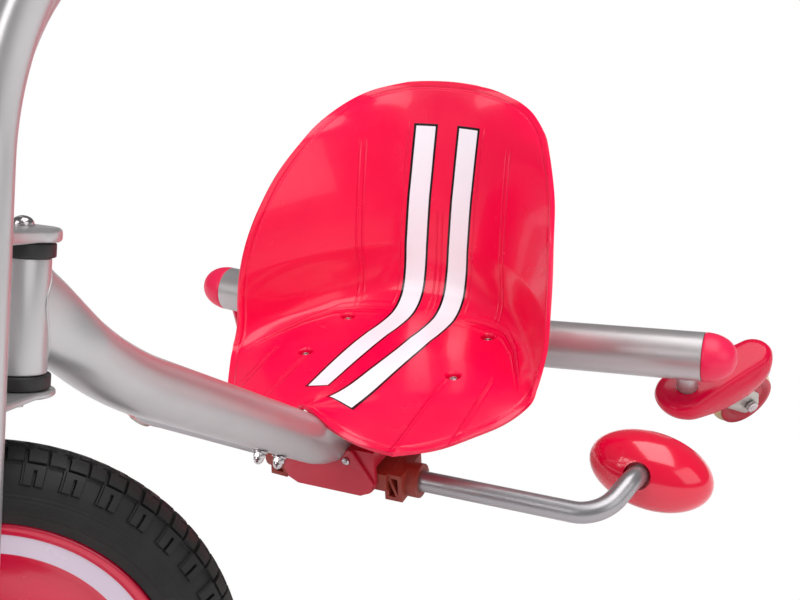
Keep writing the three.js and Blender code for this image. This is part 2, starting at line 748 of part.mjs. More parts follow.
function leverHousing() {
  const outline = new THREE.Shape();
  outline.moveTo(-HOUSING_HALF, housingRoof);
  outline.lineTo(-HOUSING_HALF, housingFloor + HOUSING_CORNER);
  outline.absarc(
    -HOUSING_HALF + HOUSING_CORNER, housingFloor + HOUSING_CORNER, HOUSING_CORNER,
    Math.PI, 1.5 * Math.PI,
  );
  outline.absarc(
    HOUSING_HALF - HOUSING_CORNER, housingFloor + HOUSING_CORNER, HOUSING_CORNER,
    1.5 * Math.PI, 2 * Math.PI,
  );
  outline.lineTo(HOUSING_HALF, housingRoof);
  const body = slab(outline, housingRear, housingFront - CLEARANCE, 6);
  body.applyMatrix4(new THREE.Matrix4().makeBasis(yAxis, zAxis, xAxis));
  const cuts = [mainEnvelope(CLEARANCE)];
  for (const side of Object.values(sides)) {
    cuts.push(block(
      slotFront - slotRear,
      SLOT_DEPTH + OVERRUN,
      SLOT_HEIGHT + OVERRUN,
      vector(
        (slotFront + slotRear) / 2,
        side * (HOUSING_HALF + (OVERRUN - SLOT_DEPTH) / 2),
        housingFloor + (SLOT_HEIGHT - OVERRUN) / 2,
      ),
    ));
    cuts.push(bar(
      PIN_RADIUS + CLEARANCE,
      pinPoint(housingRear - OVERRUN, side),
      pinPoint(housingFront + OVERRUN, side),
    ));
    cuts.push(screwHole(side));
  }
  return piece('lever_housing', carved(closed(body), [], cuts), 'casing');
}

const screwPoint = (x, side) => vector(x, side * SCREW_SPREAD, housingFloor + SCREW_RISE);

function screwHole(side) {
  const from = screwPoint(housingFront - SCREW_LENGTH, side);
  return bar(SCREW_RADIUS + CLEARANCE, from, screwPoint(housingFront + OVERRUN, side), 10);
}

function housingCover() {
  const outline = new THREE.Shape([
    new THREE.Vector2(-COVER_TOP_HALF, housingRoof),
    new THREE.Vector2(-HOUSING_HALF, housingFloor + HOUSING_CORNER),
    new THREE.Vector2(-HOUSING_HALF + HOUSING_CORNER / 3, housingFloor + HOUSING_CORNER / 3),
    new THREE.Vector2(-HOUSING_HALF + HOUSING_CORNER, housingFloor),
    new THREE.Vector2(HOUSING_HALF - HOUSING_CORNER, housingFloor),
    new THREE.Vector2(HOUSING_HALF - HOUSING_CORNER / 3, housingFloor + HOUSING_CORNER / 3),
    new THREE.Vector2(HOUSING_HALF, housingFloor + HOUSING_CORNER),
    new THREE.Vector2(COVER_TOP_HALF, housingRoof),
  ]);
  const plate = slab(outline, housingFront, housingFront + COVER_THICK);
  plate.applyMatrix4(new THREE.Matrix4().makeBasis(yAxis, zAxis, xAxis));
  const cuts = [mainEnvelope(CLEARANCE), screwHole(1), screwHole(-1)];
  return piece('housing_cover', carved(closed(plate), [], cuts), 'casing');
}

function housingScrew(name, side) {
  const face = housingFront + COVER_THICK + CLEARANCE;
  const profile = [
    [0, -SCREW_LENGTH + COVER_THICK],
    [SCREW_RADIUS, -SCREW_LENGTH + COVER_THICK],
    [SCREW_RADIUS, 0],
    [SCREW_HEAD, 0],
    [SCREW_HEAD, SCREW_RADIUS / 2],
    [SCREW_HEAD / 2, SCREW_RADIUS],
    [0, SCREW_RADIUS],
  ];
  return piece(name, turnedAlong(profile, 10, xAxis, screwPoint(face, side)), 'steel');
}

function hingePin(name, side) {
  const from = pinPoint(housingRear + CLEARANCE, side);
  return piece(name, bar(PIN_RADIUS, from, pinPoint(housingFront - 2 * CLEARANCE, side)), 'steel');
}

function leverSpring(name, side) {
  const start = slotRear + CLEARANCE;
  const bore = PIN_RADIUS + CLEARANCE;
  const profile = [
    [bore, 0],
    [SPRING_RADIUS, 0],
    [SPRING_RADIUS, SPRING_LENGTH],
    [bore, SPRING_LENGTH],
    [bore, 0],
  ];
  return piece(name, turnedAlong(profile, 14, xAxis, pinPoint(start, side)), 'steel');
}

// The rod's corners, from inside the knuckle out to the knob
function rodKnots(side) {
  const start = HOUSING_HALF + KNUCKLE_GAP + KNUCKLE_RIB;
  const [tailX, tailY, tailZ] = ROD_TAIL;
  const corner = vector(rodX, side * ROD_CORNER_Y, rodZ);
  const end = vector(rodX + tailX, side * (ROD_CORNER_Y + tailY), rodZ + tailZ);
  return rounded([vector(rodX, side * start, rodZ), corner, end], [ROD_BEND], 6);
}

function leverKnuckle(name, side) {
  const inner = HOUSING_HALF + KNUCKLE_GAP;
  const outer = inner + KNUCKLE_REACH - COLLAR_LENGTH;
  const barrelRear = slotRear + SPRING_LENGTH + 3 * CLEARANCE;
  const barrelFront = slotFront - CLEARANCE;
  const barrelWidth = barrelFront - barrelRear;
  const bodyHalfX = (slotFront - slotRear) / 2 - KNUCKLE_TRIM;
  const bodyX = rodX + CLEARANCE;
  const barrel = bar(BARREL_RADIUS, pinPoint(barrelRear, side), pinPoint(barrelFront, side), 18);
  const arm = block(
    barrelWidth,
    inner - pinSpread + KNUCKLE_RIB,
    2 * BARREL_RADIUS - KNUCKLE_RIB,
    vector((barrelRear + barrelFront) / 2, side * (inner + pinSpread + KNUCKLE_RIB) / 2, pinHeight),
  );
  const middleY = side * (inner + outer) / 2;
  const bodyZ = rodZ + KNUCKLE_LIFT;
  const body = block(2 * bodyHalfX, outer - inner, 2 * KNUCKLE_HALF, vector(bodyX, middleY, bodyZ));
  const collarFrom = vector(rodX, side * (outer - KNUCKLE_RIB), rodZ);
  const collarTo = vector(rodX, side * (outer + COLLAR_LENGTH), rodZ);
  const collar = bar(COLLAR_RADIUS, collarFrom, collarTo, 18);
  const rodHole = bar(
    ROD_RADIUS + CLEARANCE,
    vector(rodX, side * (inner + KNUCKLE_RIB - CLEARANCE), rodZ),
    vector(rodX, side * (outer + COLLAR_LENGTH + OVERRUN), rodZ),
    14,
  );
  const pinHole = bar(
    PIN_RADIUS + CLEARANCE,
    pinPoint(barrelRear - OVERRUN, side),
    pinPoint(barrelFront + OVERRUN, side),
  );
  const pockets = knucklePockets(side, inner, outer, bodyX + bodyHalfX);
  return piece(name, carved(barrel, [arm, body, collar], [rodHole, pinHole, ...pockets]), 'knuckle');
}

// Two slanted lightening pockets in the knuckle's front face, with a rib between them
function knucklePockets(side, inner, outer, face) {
  const low = rodZ + KNUCKLE_LIFT - KNUCKLE_HALF + KNUCKLE_RIB;
  const high = rodZ + KNUCKLE_LIFT + KNUCKLE_HALF - KNUCKLE_RIB;
  const near = inner + KNUCKLE_RIB;
  const far = outer - KNUCKLE_RIB;
  const rib = KNUCKLE_RIB / 2;
  const triangles = [
    [[near, low], [near, high - rib], [far - rib, low]],
    [[near + rib, high], [far, high], [far, low + rib]],
  ];
  return triangles.map((corners) => {
    const shape = new THREE.Shape(corners.map(([y, z]) => new THREE.Vector2(side * y, z)));
    const prism = slab(shape, face - KNUCKLE_POCKET, face + OVERRUN);
    return prism.applyMatrix4(new THREE.Matrix4().makeBasis(yAxis, zAxis, xAxis));
  });
}

function leverKnob(name, side) {
  const [x, y, z] = knobCentre;
  const egg = new THREE.SphereGeometry(KNOB_RADIUS, 18, 12);
  egg.scale(1, KNOB_LENGTH_HALF / KNOB_RADIUS, 1);
  egg.rotateX(-side * KNOB_TILT);
  egg.translate(x, side * y, z);
  const knots = rodKnots(side);
  const end = knots[knots.length - 1];
  const entry = knots[knots.length - 2];
  const direction = end.clone().sub(entry).normalize();
  const socketEnd = end.clone().addScaledVector(direction, CLEARANCE);
  const socket = bar(ROD_RADIUS + CLEARANCE, entry, socketEnd, 14);
  const mouthEnd = mouthPoint(side, direction, end).addScaledVector(direction, KNOB_MOUTH_DEPTH);
  const mouth = bar(KNOB_MOUTH_RADIUS, entry, mouthEnd, 16);
  const padSocket = padBar(side, PAD_RADIUS + CLEARANCE, -OVERRUN, CLEARANCE);
  return piece(name, carved(egg, [], [socket, mouth, padSocket]), 'crimson');
}

// Where the rod's centre line meets the knob's round side
function mouthPoint(side, direction, end) {
  const [x, , z] = knobCentre;
  const flat = new THREE.Vector2(direction.x, direction.z);
  const offset = new THREE.Vector2(end.x - x, end.z - z);
  const a = flat.lengthSq();
  const b = offset.dot(flat);
  const c = offset.lengthSq() - KNOB_RADIUS ** 2;
  const back = (-b - Math.sqrt(b * b - a * c)) / a;
  return end.clone().addScaledVector(direction, back);
}

function padBar(side, radius, below, above) {
  const [x, y] = knobCentre;
  const foot = vector(x - PAD_BACK, side * y, padFoot + below);
  const head = vector(x - PAD_BACK, side * y, padFoot + PAD_DEPTH + above);
  return bar(radius, foot, head, 18);
}

// A group that turns what is inside it about a point
function turnedAbout(centre, rotation, children) {
  const outer = new THREE.Group();
  const inner = new THREE.Group();
  outer.position.copy(centre);
  outer.quaternion.copy(rotation);
  inner.position.copy(centre).negate();
  inner.add(...children);
  outer.add(inner);
  return outer;
}

const turnOf = (axis, angle) => new THREE.Quaternion().setFromAxisAngle(axis, angle);

// The photo's far lever stands a little raised, with its rod turned in the collar and its
// knob turned on the rod, so the right one is drawn that way.
function sparkLever(label, side) {
  const knots = rodKnots(side);
  const end = knots[knots.length - 1];
  const tail = end.clone().sub(knots[knots.length - 2]).normalize();
  const share = side < 0 ? 1 : 0;
  const rodTube = tube(knots, ROD_RADIUS, ROD_RADIUS - ROD_WALL, 14, 8);
  const knob = turnedAbout(end, turnOf(tail, share * FAR_KNOB_TURN), [
    leverKnob(`lever_knob_${label}`, side),
    piece(`spark_pad_${label}`, padBar(side, PAD_RADIUS, 0, 0), 'brass'),
  ]);
  const rod = turnedAbout(vector(rodX, 0, rodZ), turnOf(yAxis, -share * FAR_ROD_TWIST), [
    piece(`lever_rod_${label}`, rodTube, 'silver'),
    knob,
  ]);
  return turnedAbout(pinPoint(0, side), turnOf(xAxis, side * share * FAR_LEVER_RAISE), [
    leverKnuckle(`lever_knuckle_${label}`, side),
    rod,
  ]);
}

// Casters are drawn about their kingpin: Z up along it, X towards the nose
const kingpinFoot = (side) => kingpinCentre(side).addScaledVector(kingpinUp, -KINGPIN_REACH);
const bracketTop = FENDER_TOP - FENDER_WALL - CLEARANCE;
const wheelLean = Math.asin(Math.sin(CASTER_TURN) * Math.sin(KINGPIN_LEAN));

// How far below the kingpin's foot the axle lies, so that the tread meets the ground
function axleDrop(side) {
  const rise = TRAIL * Math.sin(KINGPIN_LEAN) * Math.cos(CASTER_TURN);
  const axleHeight = (CASTER_RADIUS - CASTER_CROWN) * Math.cos(wheelLean) + CASTER_CROWN;
  return (kingpinFoot(side).z + rise - axleHeight) / Math.cos(KINGPIN_LEAN);
}

function kingpin(name, side) {
  const bore = CROSS_RADIUS - CROSS_WALL;
  const profile = [
    [0, -KINGPIN_TAIL],
    [KINGPIN_RADIUS, -KINGPIN_TAIL],
    [KINGPIN_RADIUS, bracketTop + CLEARANCE],
    [KINGPIN_COLLAR, bracketTop + CLEARANCE],
    [KINGPIN_COLLAR, KINGPIN_REACH - CROSS_RADIUS - KINGPIN_WALL_GAP],
    [KINGPIN_RADIUS, KINGPIN_REACH - CROSS_RADIUS - KINGPIN_WALL_GAP],
    [KINGPIN_RADIUS, KINGPIN_REACH + bore - 2 * KINGPIN_WALL_GAP],
    [0, KINGPIN_REACH + bore - 2 * KINGPIN_WALL_GAP],
  ];
  return piece(name, turnedAlong(profile, 16, kingpinUp, kingpinFoot(side)), 'silver');
}

// The fender from its roof down: shares of its depth, of its nose and of its tail
const fenderShares = [
  [0, 0.6, 0.55],
  [0.06, 0.84, 0.82],
  [0.25, 0.96, 0.96],
  [0.5, 1, 1],
  [1, 0.92, 0.96],
];

function fenderLayer([depthShare, noseShare, tailShare], inset, sink) {
  const nose = FENDER_NOSE * noseShare - inset;
  const tail = FENDER_TAIL * tailShare - inset;
  return teardrop(nose, tail, FENDER_REACH + FENDER_LEAD, 8).map((point) => {
    const x = point.x + FENDER_LEAD;
    const along = THREE.MathUtils.clamp(-x / FENDER_REACH, 0, 1);
    const depth = THREE.MathUtils.lerp(FENDER_NOSE_DEPTH, FENDER_TAIL_DEPTH, along);
    return vector(x, point.y, FENDER_TOP - depthShare * (FENDER_TOP + depth) - sink);
  });
}

// A deep cover: a skin of teardrop layers, hollowed by a smaller one and open at the foot
function casterFender(name) {
  const last = fenderShares.length - 1;
  const outer = fenderShares.map((shares) => fenderLayer(shares, 0, 0));
  const inner = fenderShares.map((shares, i) => {
    const sinks = { 0: FENDER_WALL, [last]: OVERRUN };
    return fenderLayer(shares, FENDER_WALL, sinks[i] ?? 0);
  });
  const below = vector(0, 0, -OVERRUN);
  const above = vector(0, 0, FENDER_TOP + OVERRUN);
  const stem = bar(KINGPIN_COLLAR + KINGPIN_WALL_GAP, below, above, 20);
  return piece(name, carved(layered(outer), [], [layered(inner), stem]), 'crimson');
}

// A pressed fork: a plate under the kingpin and an arm down each side of the wheel
function casterBracket(name, drop) {
  const armInner = CASTER_CORE_HALF + ARM_GAP;
  const armOuter = armInner + ARM_THICK;
  const top = bracketTop;
  const foot = top - BRACKET_THICK;
  const hubShape = new THREE.Shape(teardrop(KINGPIN_COLLAR + BRACKET_THICK, armOuter, TRAIL / 2, 8));
  const plate = slab(hubShape, foot, top);
  const joins = [];
  for (const side of [1, -1]) {
    const arm = new THREE.Shape([
      new THREE.Vector2(0, top),
      new THREE.Vector2(-TRAIL / 2 - ARM_HALF, top),
      new THREE.Vector2(-TRAIL - ARM_HALF, -drop + ARM_HALF),
      new THREE.Vector2(-TRAIL - ARM_HALF, -drop - ARM_HALF / 2),
      new THREE.Vector2(-TRAIL - ARM_HALF / 2, -drop - ARM_HALF),
      new THREE.Vector2(-TRAIL + ARM_HALF / 2, -drop - ARM_HALF),
      new THREE.Vector2(-TRAIL + ARM_HALF, -drop - ARM_HALF / 2),
    ]);
    const low = side > 0 ? armInner : -armOuter;
    const sheet = slab(arm, -low - ARM_THICK, -low);
    joins.push(closed(sheet.rotateX(Math.PI / 2)));
  }
  const pinHole = bar(
    KINGPIN_RADIUS + CLEARANCE,
    vector(0, 0, foot - OVERRUN),
    vector(0, 0, top + OVERRUN),
    24,
  );
  const axleHole = bar(
    CASTER_AXLE + CLEARANCE,
    vector(-TRAIL, armOuter + OVERRUN, -drop),
    vector(-TRAIL, -armOuter - OVERRUN, -drop),
  );
  return piece(name, carved(plate, joins, [pinHole, axleHole]), 'brass');
}

function wheelTurned(profile, segments, drop) {
  const points = profile.map(([radius, height]) => new THREE.Vector2(radius, height));
  const wheel = closed(new THREE.LatheGeometry(points, segments));
  return wheel.translate(-TRAIL, 0, -drop);
}

function casterCore(name, drop) {
  const bore = CASTER_AXLE + CLEARANCE;
  const face = CASTER_CORE_HALF;
  const dish = face - CASTER_AXLE;
  const tuck = face - CASTER_FLANGE;
  const half = [
    [bore, face],
    [2 * CASTER_AXLE, face],
    [3 * CASTER_AXLE, dish],
    [CASTER_SEAT_RADIUS - CASTER_AXLE, dish],
    [CASTER_SEAT_RADIUS, face],
    [CASTER_FLANGE_RADIUS, face - CASTER_FLANGE / 2],
    [CASTER_FLANGE_RADIUS, tuck],
    [CASTER_SEAT_RADIUS, tuck],
  ];
  const mirrored = half.map(([radius, height]) => [radius, -height]).reverse();
  return piece(name, wheelTurned([...half, ...mirrored, half[0]], 20, drop), 'casing');
}

function casterTread(name, drop) {
  const seat = CASTER_SEAT_RADIUS + CLEARANCE;
  const halfWidth = CASTER_CORE_HALF - CASTER_FLANGE - CLEARANCE;
  const profile = [[seat, -halfWidth]];
  const steps = 4;
  const spread = Math.asin(halfWidth / CASTER_CROWN);
  for (let i = 0; i <= steps; i += 1) {
    const angle = -spread + 2 * spread * i / steps;
    const radius = CASTER_RADIUS - CASTER_CROWN + CASTER_CROWN * Math.cos(angle);
    profile.push([radius, CASTER_CROWN * Math.sin(angle)]);
  }
  profile.push([seat, halfWidth], [seat, -halfWidth]);
  return piece(name, wheelTurned(profile, 28, drop), 'urethane');
}

function casterAxle(name, drop) {
  const face = CASTER_CORE_HALF + ARM_GAP + ARM_THICK + CLEARANCE;
  const end = face + CASTER_NUT_HEIGHT;
  const nut = [
    [0, -end],
    [CASTER_NUT, -end],
    [CASTER_NUT, -face],
    [CASTER_AXLE, -face],
    [CASTER_AXLE, face],
    [CASTER_NUT, face],
    [CASTER_NUT, end],
    [0, end],
  ];
  return piece(name, wheelTurned(nut, 12, drop), 'steel');
}

function caster(label, side) {
  const swivel = new THREE.Group();
  swivel.position.copy(kingpinFoot(side));
  swivel.rotation.y = KINGPIN_LEAN;
  const heading = new THREE.Group();
  heading.rotation.z = -side * CASTER_TURN;
  const drop = axleDrop(side);
  heading.add(
    casterBracket(`caster_bracket_${label}`, drop),
    casterFender(`caster_fender_${label}`),
    casterCore(`caster_core_${label}`, drop),
    casterTread(`caster_tread_${label}`, drop),
    casterAxle(`caster_axle_${label}`, drop),
  );
  swivel.add(heading);
  return swivel;
}

// The steering group is drawn about its axis: Z up along it, X the way the wheel heads
const wheelAxleLean = Math.asin(Math.sin(Math.abs(STEER_ANGLE)) * Math.sin(RAKE));
const hubHeight = (TYRE_RADIUS - TYRE_SECTION) * Math.cos(wheelAxleLean) + TYRE_SECTION;
const headingRise = BAR_OFFSET * Math.cos(STEER_ANGLE) * Math.sin(RAKE);
const axleBelow = (STEER_FOOT_Z + headingRise - hubHeight) / Math.cos(RAKE);

function barKnots(side) {
  const bend = BAR_BEND_RADIUS * Math.tan(BAR_BEND_ANGLE / 2);
  const foot = vector(BAR_OFFSET, side * BAR_SPREAD, -axleBelow + AXLE_BLOCK[2] / 2 + CLEARANCE);
  const shoulder = vector(BAR_OFFSET, side * BAR_SPREAD, BAR_BEND_START + bend);
  const flare = vector(-Math.cos(BAR_FLARE_ANGLE), side * Math.sin(BAR_FLARE_ANGLE), 0);
  const riser = flare.multiplyScalar(Math.sin(BAR_BEND_ANGLE));
  riser.addScaledVector(zAxis, Math.cos(BAR_BEND_ANGLE));
  const elbow = shoulder.clone().addScaledVector(riser, BAR_RISER);
  const hand = vector(-barHandBackShare, side * Math.sqrt(1 - barHandBackShare ** 2), -barHandDropShare);
  const end = elbow.clone().addScaledVector(hand.normalize(), BAR_HAND + BAR_HAND_BEND);
  return rounded([foot, shoulder, elbow, end], [BAR_BEND_RADIUS, BAR_HAND_BEND], 6);
}

function handGrip(name, side) {
  const knots = barKnots(side);
  const end = knots[knots.length - 1];
  const direction = end.clone().sub(knots[knots.length - 2]).normalize();
  const bore = BAR_RADIUS + GRIP_FIT;
  const length = GRIP_LENGTH;
  const profile = [[0, CLEARANCE], [bore, CLEARANCE], [bore, -length], [GRIP_RADIUS, -length]];
  const ribs = 5;
  for (let i = 0; i < ribs; i += 1) {
    const base = -length + length * (i + gripRibStartShare) / ribs;
    profile.push([GRIP_RADIUS, base], [GRIP_RADIUS - GRIP_RIB, base + GRIP_RIB]);
    profile.push([GRIP_RADIUS - GRIP_RIB, base + 3 * GRIP_RIB], [GRIP_RADIUS, base + 4 * GRIP_RIB]);
  }
  profile.push([GRIP_RADIUS, 0], [GRIP_RADIUS + GRIP_RIB, GRIP_RIB]);
  profile.push([GRIP_RADIUS + GRIP_RIB, GRIP_END - GRIP_RIB], [GRIP_RADIUS - GRIP_RIB, GRIP_END]);
  profile.push([0, GRIP_END]);
  return piece(name, turnedAlong(profile, 12, direction, end), 'rubber');
}

// A flat plate that rounds the steering axis and both bars
function clampPlate(name, low, high) {
  const arc = (centreX, centreY, radius, from, to, steps = 7) => {
    const points = [];
    for (let i = 0; i <= steps; i += 1) {
      const angle = (from + (to - from) * i / steps) * DEGREE;
      const x = centreX + radius * Math.cos(angle);
      points.push(new THREE.Vector2(x, centreY + radius * Math.sin(angle)));
    }
    return points;
  };
  const outline = new THREE.Shape([
    ...arc(BAR_OFFSET, -BAR_SPREAD, PLATE_SIDE_RADIUS, 180, 360),
    ...arc(BAR_OFFSET, BAR_SPREAD, PLATE_SIDE_RADIUS, 0, 180),
    ...arc(0, 0, PLATE_REAR_RADIUS, 120, 240),
  ]);
  const holes = [[0, 0, STEER_BOLT_RADIUS], [BAR_OFFSET, BAR_SPREAD, BAR_RADIUS]];
  holes.push([BAR_OFFSET, -BAR_SPREAD, BAR_RADIUS]);
  for (const [x, y, radius] of holes) {
    const points = circle(radius + CLEARANCE, 18).map((point) => point.add(new THREE.Vector2(x, y)));
    outline.holes.push(new THREE.Path(points));
  }
  return piece(name, slab(outline, low, high), 'silver');
}

const upperPlateFoot = headTop + CLEARANCE + CUP_LENGTH + PLATE_GAP;
const upperPlateTop = upperPlateFoot + UPPER_PLATE;
const lowerPlateTop = HEAD_START - CLEARANCE - CUP_LENGTH - PLATE_GAP;
const lowerPlateFoot = lowerPlateTop - LOWER_PLATE;

function steeringBolt() {
  const seat = upperPlateTop + CLEARANCE;
  const flange = DOME_RADIUS;
  const profile = [
    [0, lowerPlateFoot - 2 * STEER_NUT],
    [STEER_BOLT_RADIUS, lowerPlateFoot - 2 * STEER_NUT],
    [STEER_BOLT_RADIUS, seat],
    [flange, seat],
    [flange, seat + WASHER],
  ];
  const steps = 4;
  for (let i = 1; i <= steps; i += 1) {
    const angle = (Math.PI / 2) * i / steps;
    const radius = i === steps ? 0 : (flange - WASHER / 2) * Math.cos(angle);
    profile.push([radius, seat + WASHER + DOME_HEIGHT * Math.sin(angle)]);
  }
  return piece('steering_bolt', turned(profile, 18), 'steel');
}

function steeringNut() {
  const seat = lowerPlateFoot - CLEARANCE;
  const foot = seat - STEER_NUT;
  const hexagon = turned([[0, foot], [STEER_NUT_RADIUS, foot], [STEER_NUT_RADIUS, seat], [0, seat]], 6);
  const bore = bar(STEER_BOLT_RADIUS + CLEARANCE, vector(0, 0, foot - OVERRUN), vector(0, 0, seat + OVERRUN));
  return piece('steering_nut', carved(hexagon, [], [bore]), 'steel');
}

function crossbar() {
  const knots = barKnots(1);
  const above = knots.findIndex((knot) => knot.z > CROSSBAR_RISE);
  const [low, high] = [knots[above - 1], knots[above]];
  const share = (CROSSBAR_RISE - low.z) / (high.z - low.z);
  const joint = low.clone().lerp(high, share);
  const start = vector(joint.x, -joint.y, joint.z);
  const cuts = [1, -1].map((side) => tube(barKnots(side), BAR_RADIUS + CLEARANCE, 0, 16));
  const raw = solid(bar(CROSSBAR_RADIUS, start, joint, 18));
  const trimmed = cuts.reduce((rest, cut) => rest.subtract(solid(cut)), raw);
  const bodies = trimmed.decompose().sort((a, b) => b.volume() - a.volume());
  return piece('handlebar_crossbar', meshed(bodies[0]), 'silver');
}

function axleBearing(name, side) {
  const [long, wide, tall] = AXLE_BLOCK;
  const centre = vector(BAR_OFFSET, side * BAR_SPREAD, -axleBelow);
  const from = centre.clone().addScaledVector(yAxis, wide);
  const bore = bar(CRANK_RADIUS + CLEARANCE, from, centre.clone().addScaledVector(yAxis, -wide));
  const lower = bar(
    long / 2,
    centre.clone().addScaledVector(yAxis, wide / 2),
    centre.clone().addScaledVector(yAxis, -wide / 2),
    28,
  );
  const upper = block(long, wide, tall / 2, centre.clone().addScaledVector(zAxis, tall / 4));
  return piece(name, carved(upper, [lower], [bore]), 'black');
}

const beadRadius = TYRE_RADIUS - TYRE_HEIGHT;

function frontTyre() {
  const tyreCentre = TYRE_RADIUS - TYRE_SECTION;
  const profile = [];
  const steps = 9;
  for (let i = 0; i <= steps; i += 1) {
    const angle = TYRE_BEAD_ANGLE * (2 * i / steps - 1);
    const radius = Math.max(tyreCentre + TYRE_SECTION * Math.cos(angle), beadRadius + CLEARANCE);
    profile.push([radius, TYRE_SECTION * Math.sin(angle)]);
  }
  profile.push(profile[0]);
  return piece('front_tyre', frontTurned(profile, 40), 'rubber');
}

function frontTurned(profile, segments) {
  const points = profile.map(([radius, height]) => new THREE.Vector2(radius, height));
  const wheel = closed(new THREE.LatheGeometry(points, segments));
  return wheel.translate(BAR_OFFSET, 0, -axleBelow);
}

function frontRim() {
  const bore = CRANK_RADIUS + CLEARANCE;
  const flange = beadRadius;
  const hubEnd = BAR_SPREAD - AXLE_BLOCK[1] / 2 - 2 * CLEARANCE;
  const half = [
    [bore, hubEnd],
    [HUB_RADIUS, hubEnd],
    [HUB_RADIUS, RIM_WIDTH_HALF],
    [flange - RIM_FLOOR - 3 * RIM_FLANGE, WEB_HALF],
    [flange - RIM_FLOOR - RIM_FLANGE, RIM_WIDTH_HALF - RIM_FLANGE / 2],
    [flange - RIM_FLANGE, RIM_WIDTH_HALF],
    [flange, RIM_WIDTH_HALF - RIM_FLANGE / 4],
  ];
  const mirrored = half.map(([radius, height]) => [radius, -height]).reverse();
  const profile = [...half, ...mirrored, half[0]];
  return piece('front_rim', frontTurned(profile, 40), 'crimson');
}

// A one-piece crank: axle, two opposite arms and the pedal spindles
function crank() {
  const centre = vector(BAR_OFFSET, 0, -axleBelow);
  const spindle = CRANK_ARM + CRANK_TOE + PEDAL_GAP + PEDAL_WIDTH;
  const corners = [
    vector(-CRANK_LENGTH, -spindle, 0),
    vector(-CRANK_LENGTH, -CRANK_ARM - CRANK_TOE, 0),
    vector(0, -CRANK_ARM, 0),
    vector(0, CRANK_ARM, 0),
    vector(CRANK_LENGTH, CRANK_ARM + CRANK_TOE, 0),
    vector(CRANK_LENGTH, spindle, 0),
  ].map((corner) => corner.add(centre));
  const knots = rounded(corners, Array(4).fill(CRANK_BEND), 4);
  return piece('crank', tube(knots, CRANK_RADIUS, 0, 12), 'steel');
}

function pedal(name, side) {
  const inner = CRANK_ARM + CRANK_TOE + PEDAL_GAP;
  const centre = vector(BAR_OFFSET + side * CRANK_LENGTH, side * (inner + PEDAL_WIDTH / 2), -axleBelow);
  const body = block(PEDAL_LENGTH, PEDAL_WIDTH, PEDAL_THICK, centre);
  const from = centre.clone().addScaledVector(yAxis, PEDAL_WIDTH);
  const bore = bar(CRANK_RADIUS + CLEARANCE, from, centre.clone().addScaledVector(yAxis, -PEDAL_WIDTH));
  const grooves = [];
  for (const up of [1, -1]) {
    for (const step of [-2, -1, 1, 2]) {
      const place = centre.clone().add(vector(step * PEDAL_LENGTH / 6, 0, up * PEDAL_THICK / 2));
      grooves.push(block(PEDAL_RIB, PEDAL_WIDTH - 3 * PEDAL_RIB, PEDAL_RIB, place));
    }
  }
  return piece(name, carved(body, [], [bore, ...grooves]), 'black');
}

function steering() {
  const rake = new THREE.Group();
  rake.position.copy(steerFoot);
  rake.rotation.y = -RAKE;
  const heading = new THREE.Group();
  heading.rotation.z = STEER_ANGLE;
  for (const [label, side] of Object.entries(sides)) {
    const barTube = tube(barKnots(side), BAR_RADIUS, BAR_RADIUS - BAR_WALL, 16, 8);
    heading.add(
      piece(`fork_bar_${label}`, barTube, 'silver'),
      handGrip(`hand_grip_${label}`, side),
      axleBearing(`axle_bearing_${label}`, side),
      pedal(`pedal_${label}`, side),
    );
  }
  heading.add(
    clampPlate('upper_clamp_plate', upperPlateFoot, upperPlateTop),
    clampPlate('lower_clamp_plate', lowerPlateFoot, lowerPlateTop),
    steeringBolt(),
    steeringNut(),
    crossbar(),
    frontRim(),
    frontTyre(),
    crank(),
  );
  rake.add(heading);
  return rake;
}

const trike = new THREE.Group();
trike.add(...frameTubes(), seatPlate(), seatShell(), leverHousing(), housingCover(), steering());
trike.add(bearingCup('upper_bearing_cup', false), bearingCup('lower_bearing_cup', true));
trike.add(domeNut('tube_nut_rear', STUD_PLACES[0]), domeNut('tube_nut_front', STUD_PLACES[1]));
for (const [label, x, y] of seatHoles) trike.add(seatBolt(`seat_bolt_${label}`, x, y));
for (const [label, side] of Object.entries(sides)) {
  trike.add(
    endCap(`end_cap_${label}`, side),
    kingpin(`kingpin_${label}`, side),
    housingScrew(`housing_screw_${label}`, side),
    hingePin(`hinge_pin_${label}`, side),
    leverSpring(`lever_spring_${label}`, side),
    sparkLever(label, side),
    caster(label, side),
  );
}

// The origin is the middle of the box around the trike, on the ground.
trike.updateMatrixWorld(true);
const bounds = new THREE.Box3().setFromObject(trike, true);
const middle = bounds.getCenter(new THREE.Vector3());
trike.position.set(-middle.x, -middle.y, -bounds.min.z);

export default trike;
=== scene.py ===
"""Looks of a low drift trike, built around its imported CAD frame.

Lengths are millimetres in the frame that the trike was drawn in, but for the stage and where a
docstring says metres: X forward from the rear cross tube, Y to the rider's left, Z up. ROW carries
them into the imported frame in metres.
"""

import json
import logging
import math
from contextlib import contextmanager
from dataclasses import dataclass
from enum import Enum
from typing import Any, Callable, Iterator, Sequence

import bpy
from mathutils import Matrix, Quaternion, Vector
from mathutils.kdtree import KDTree


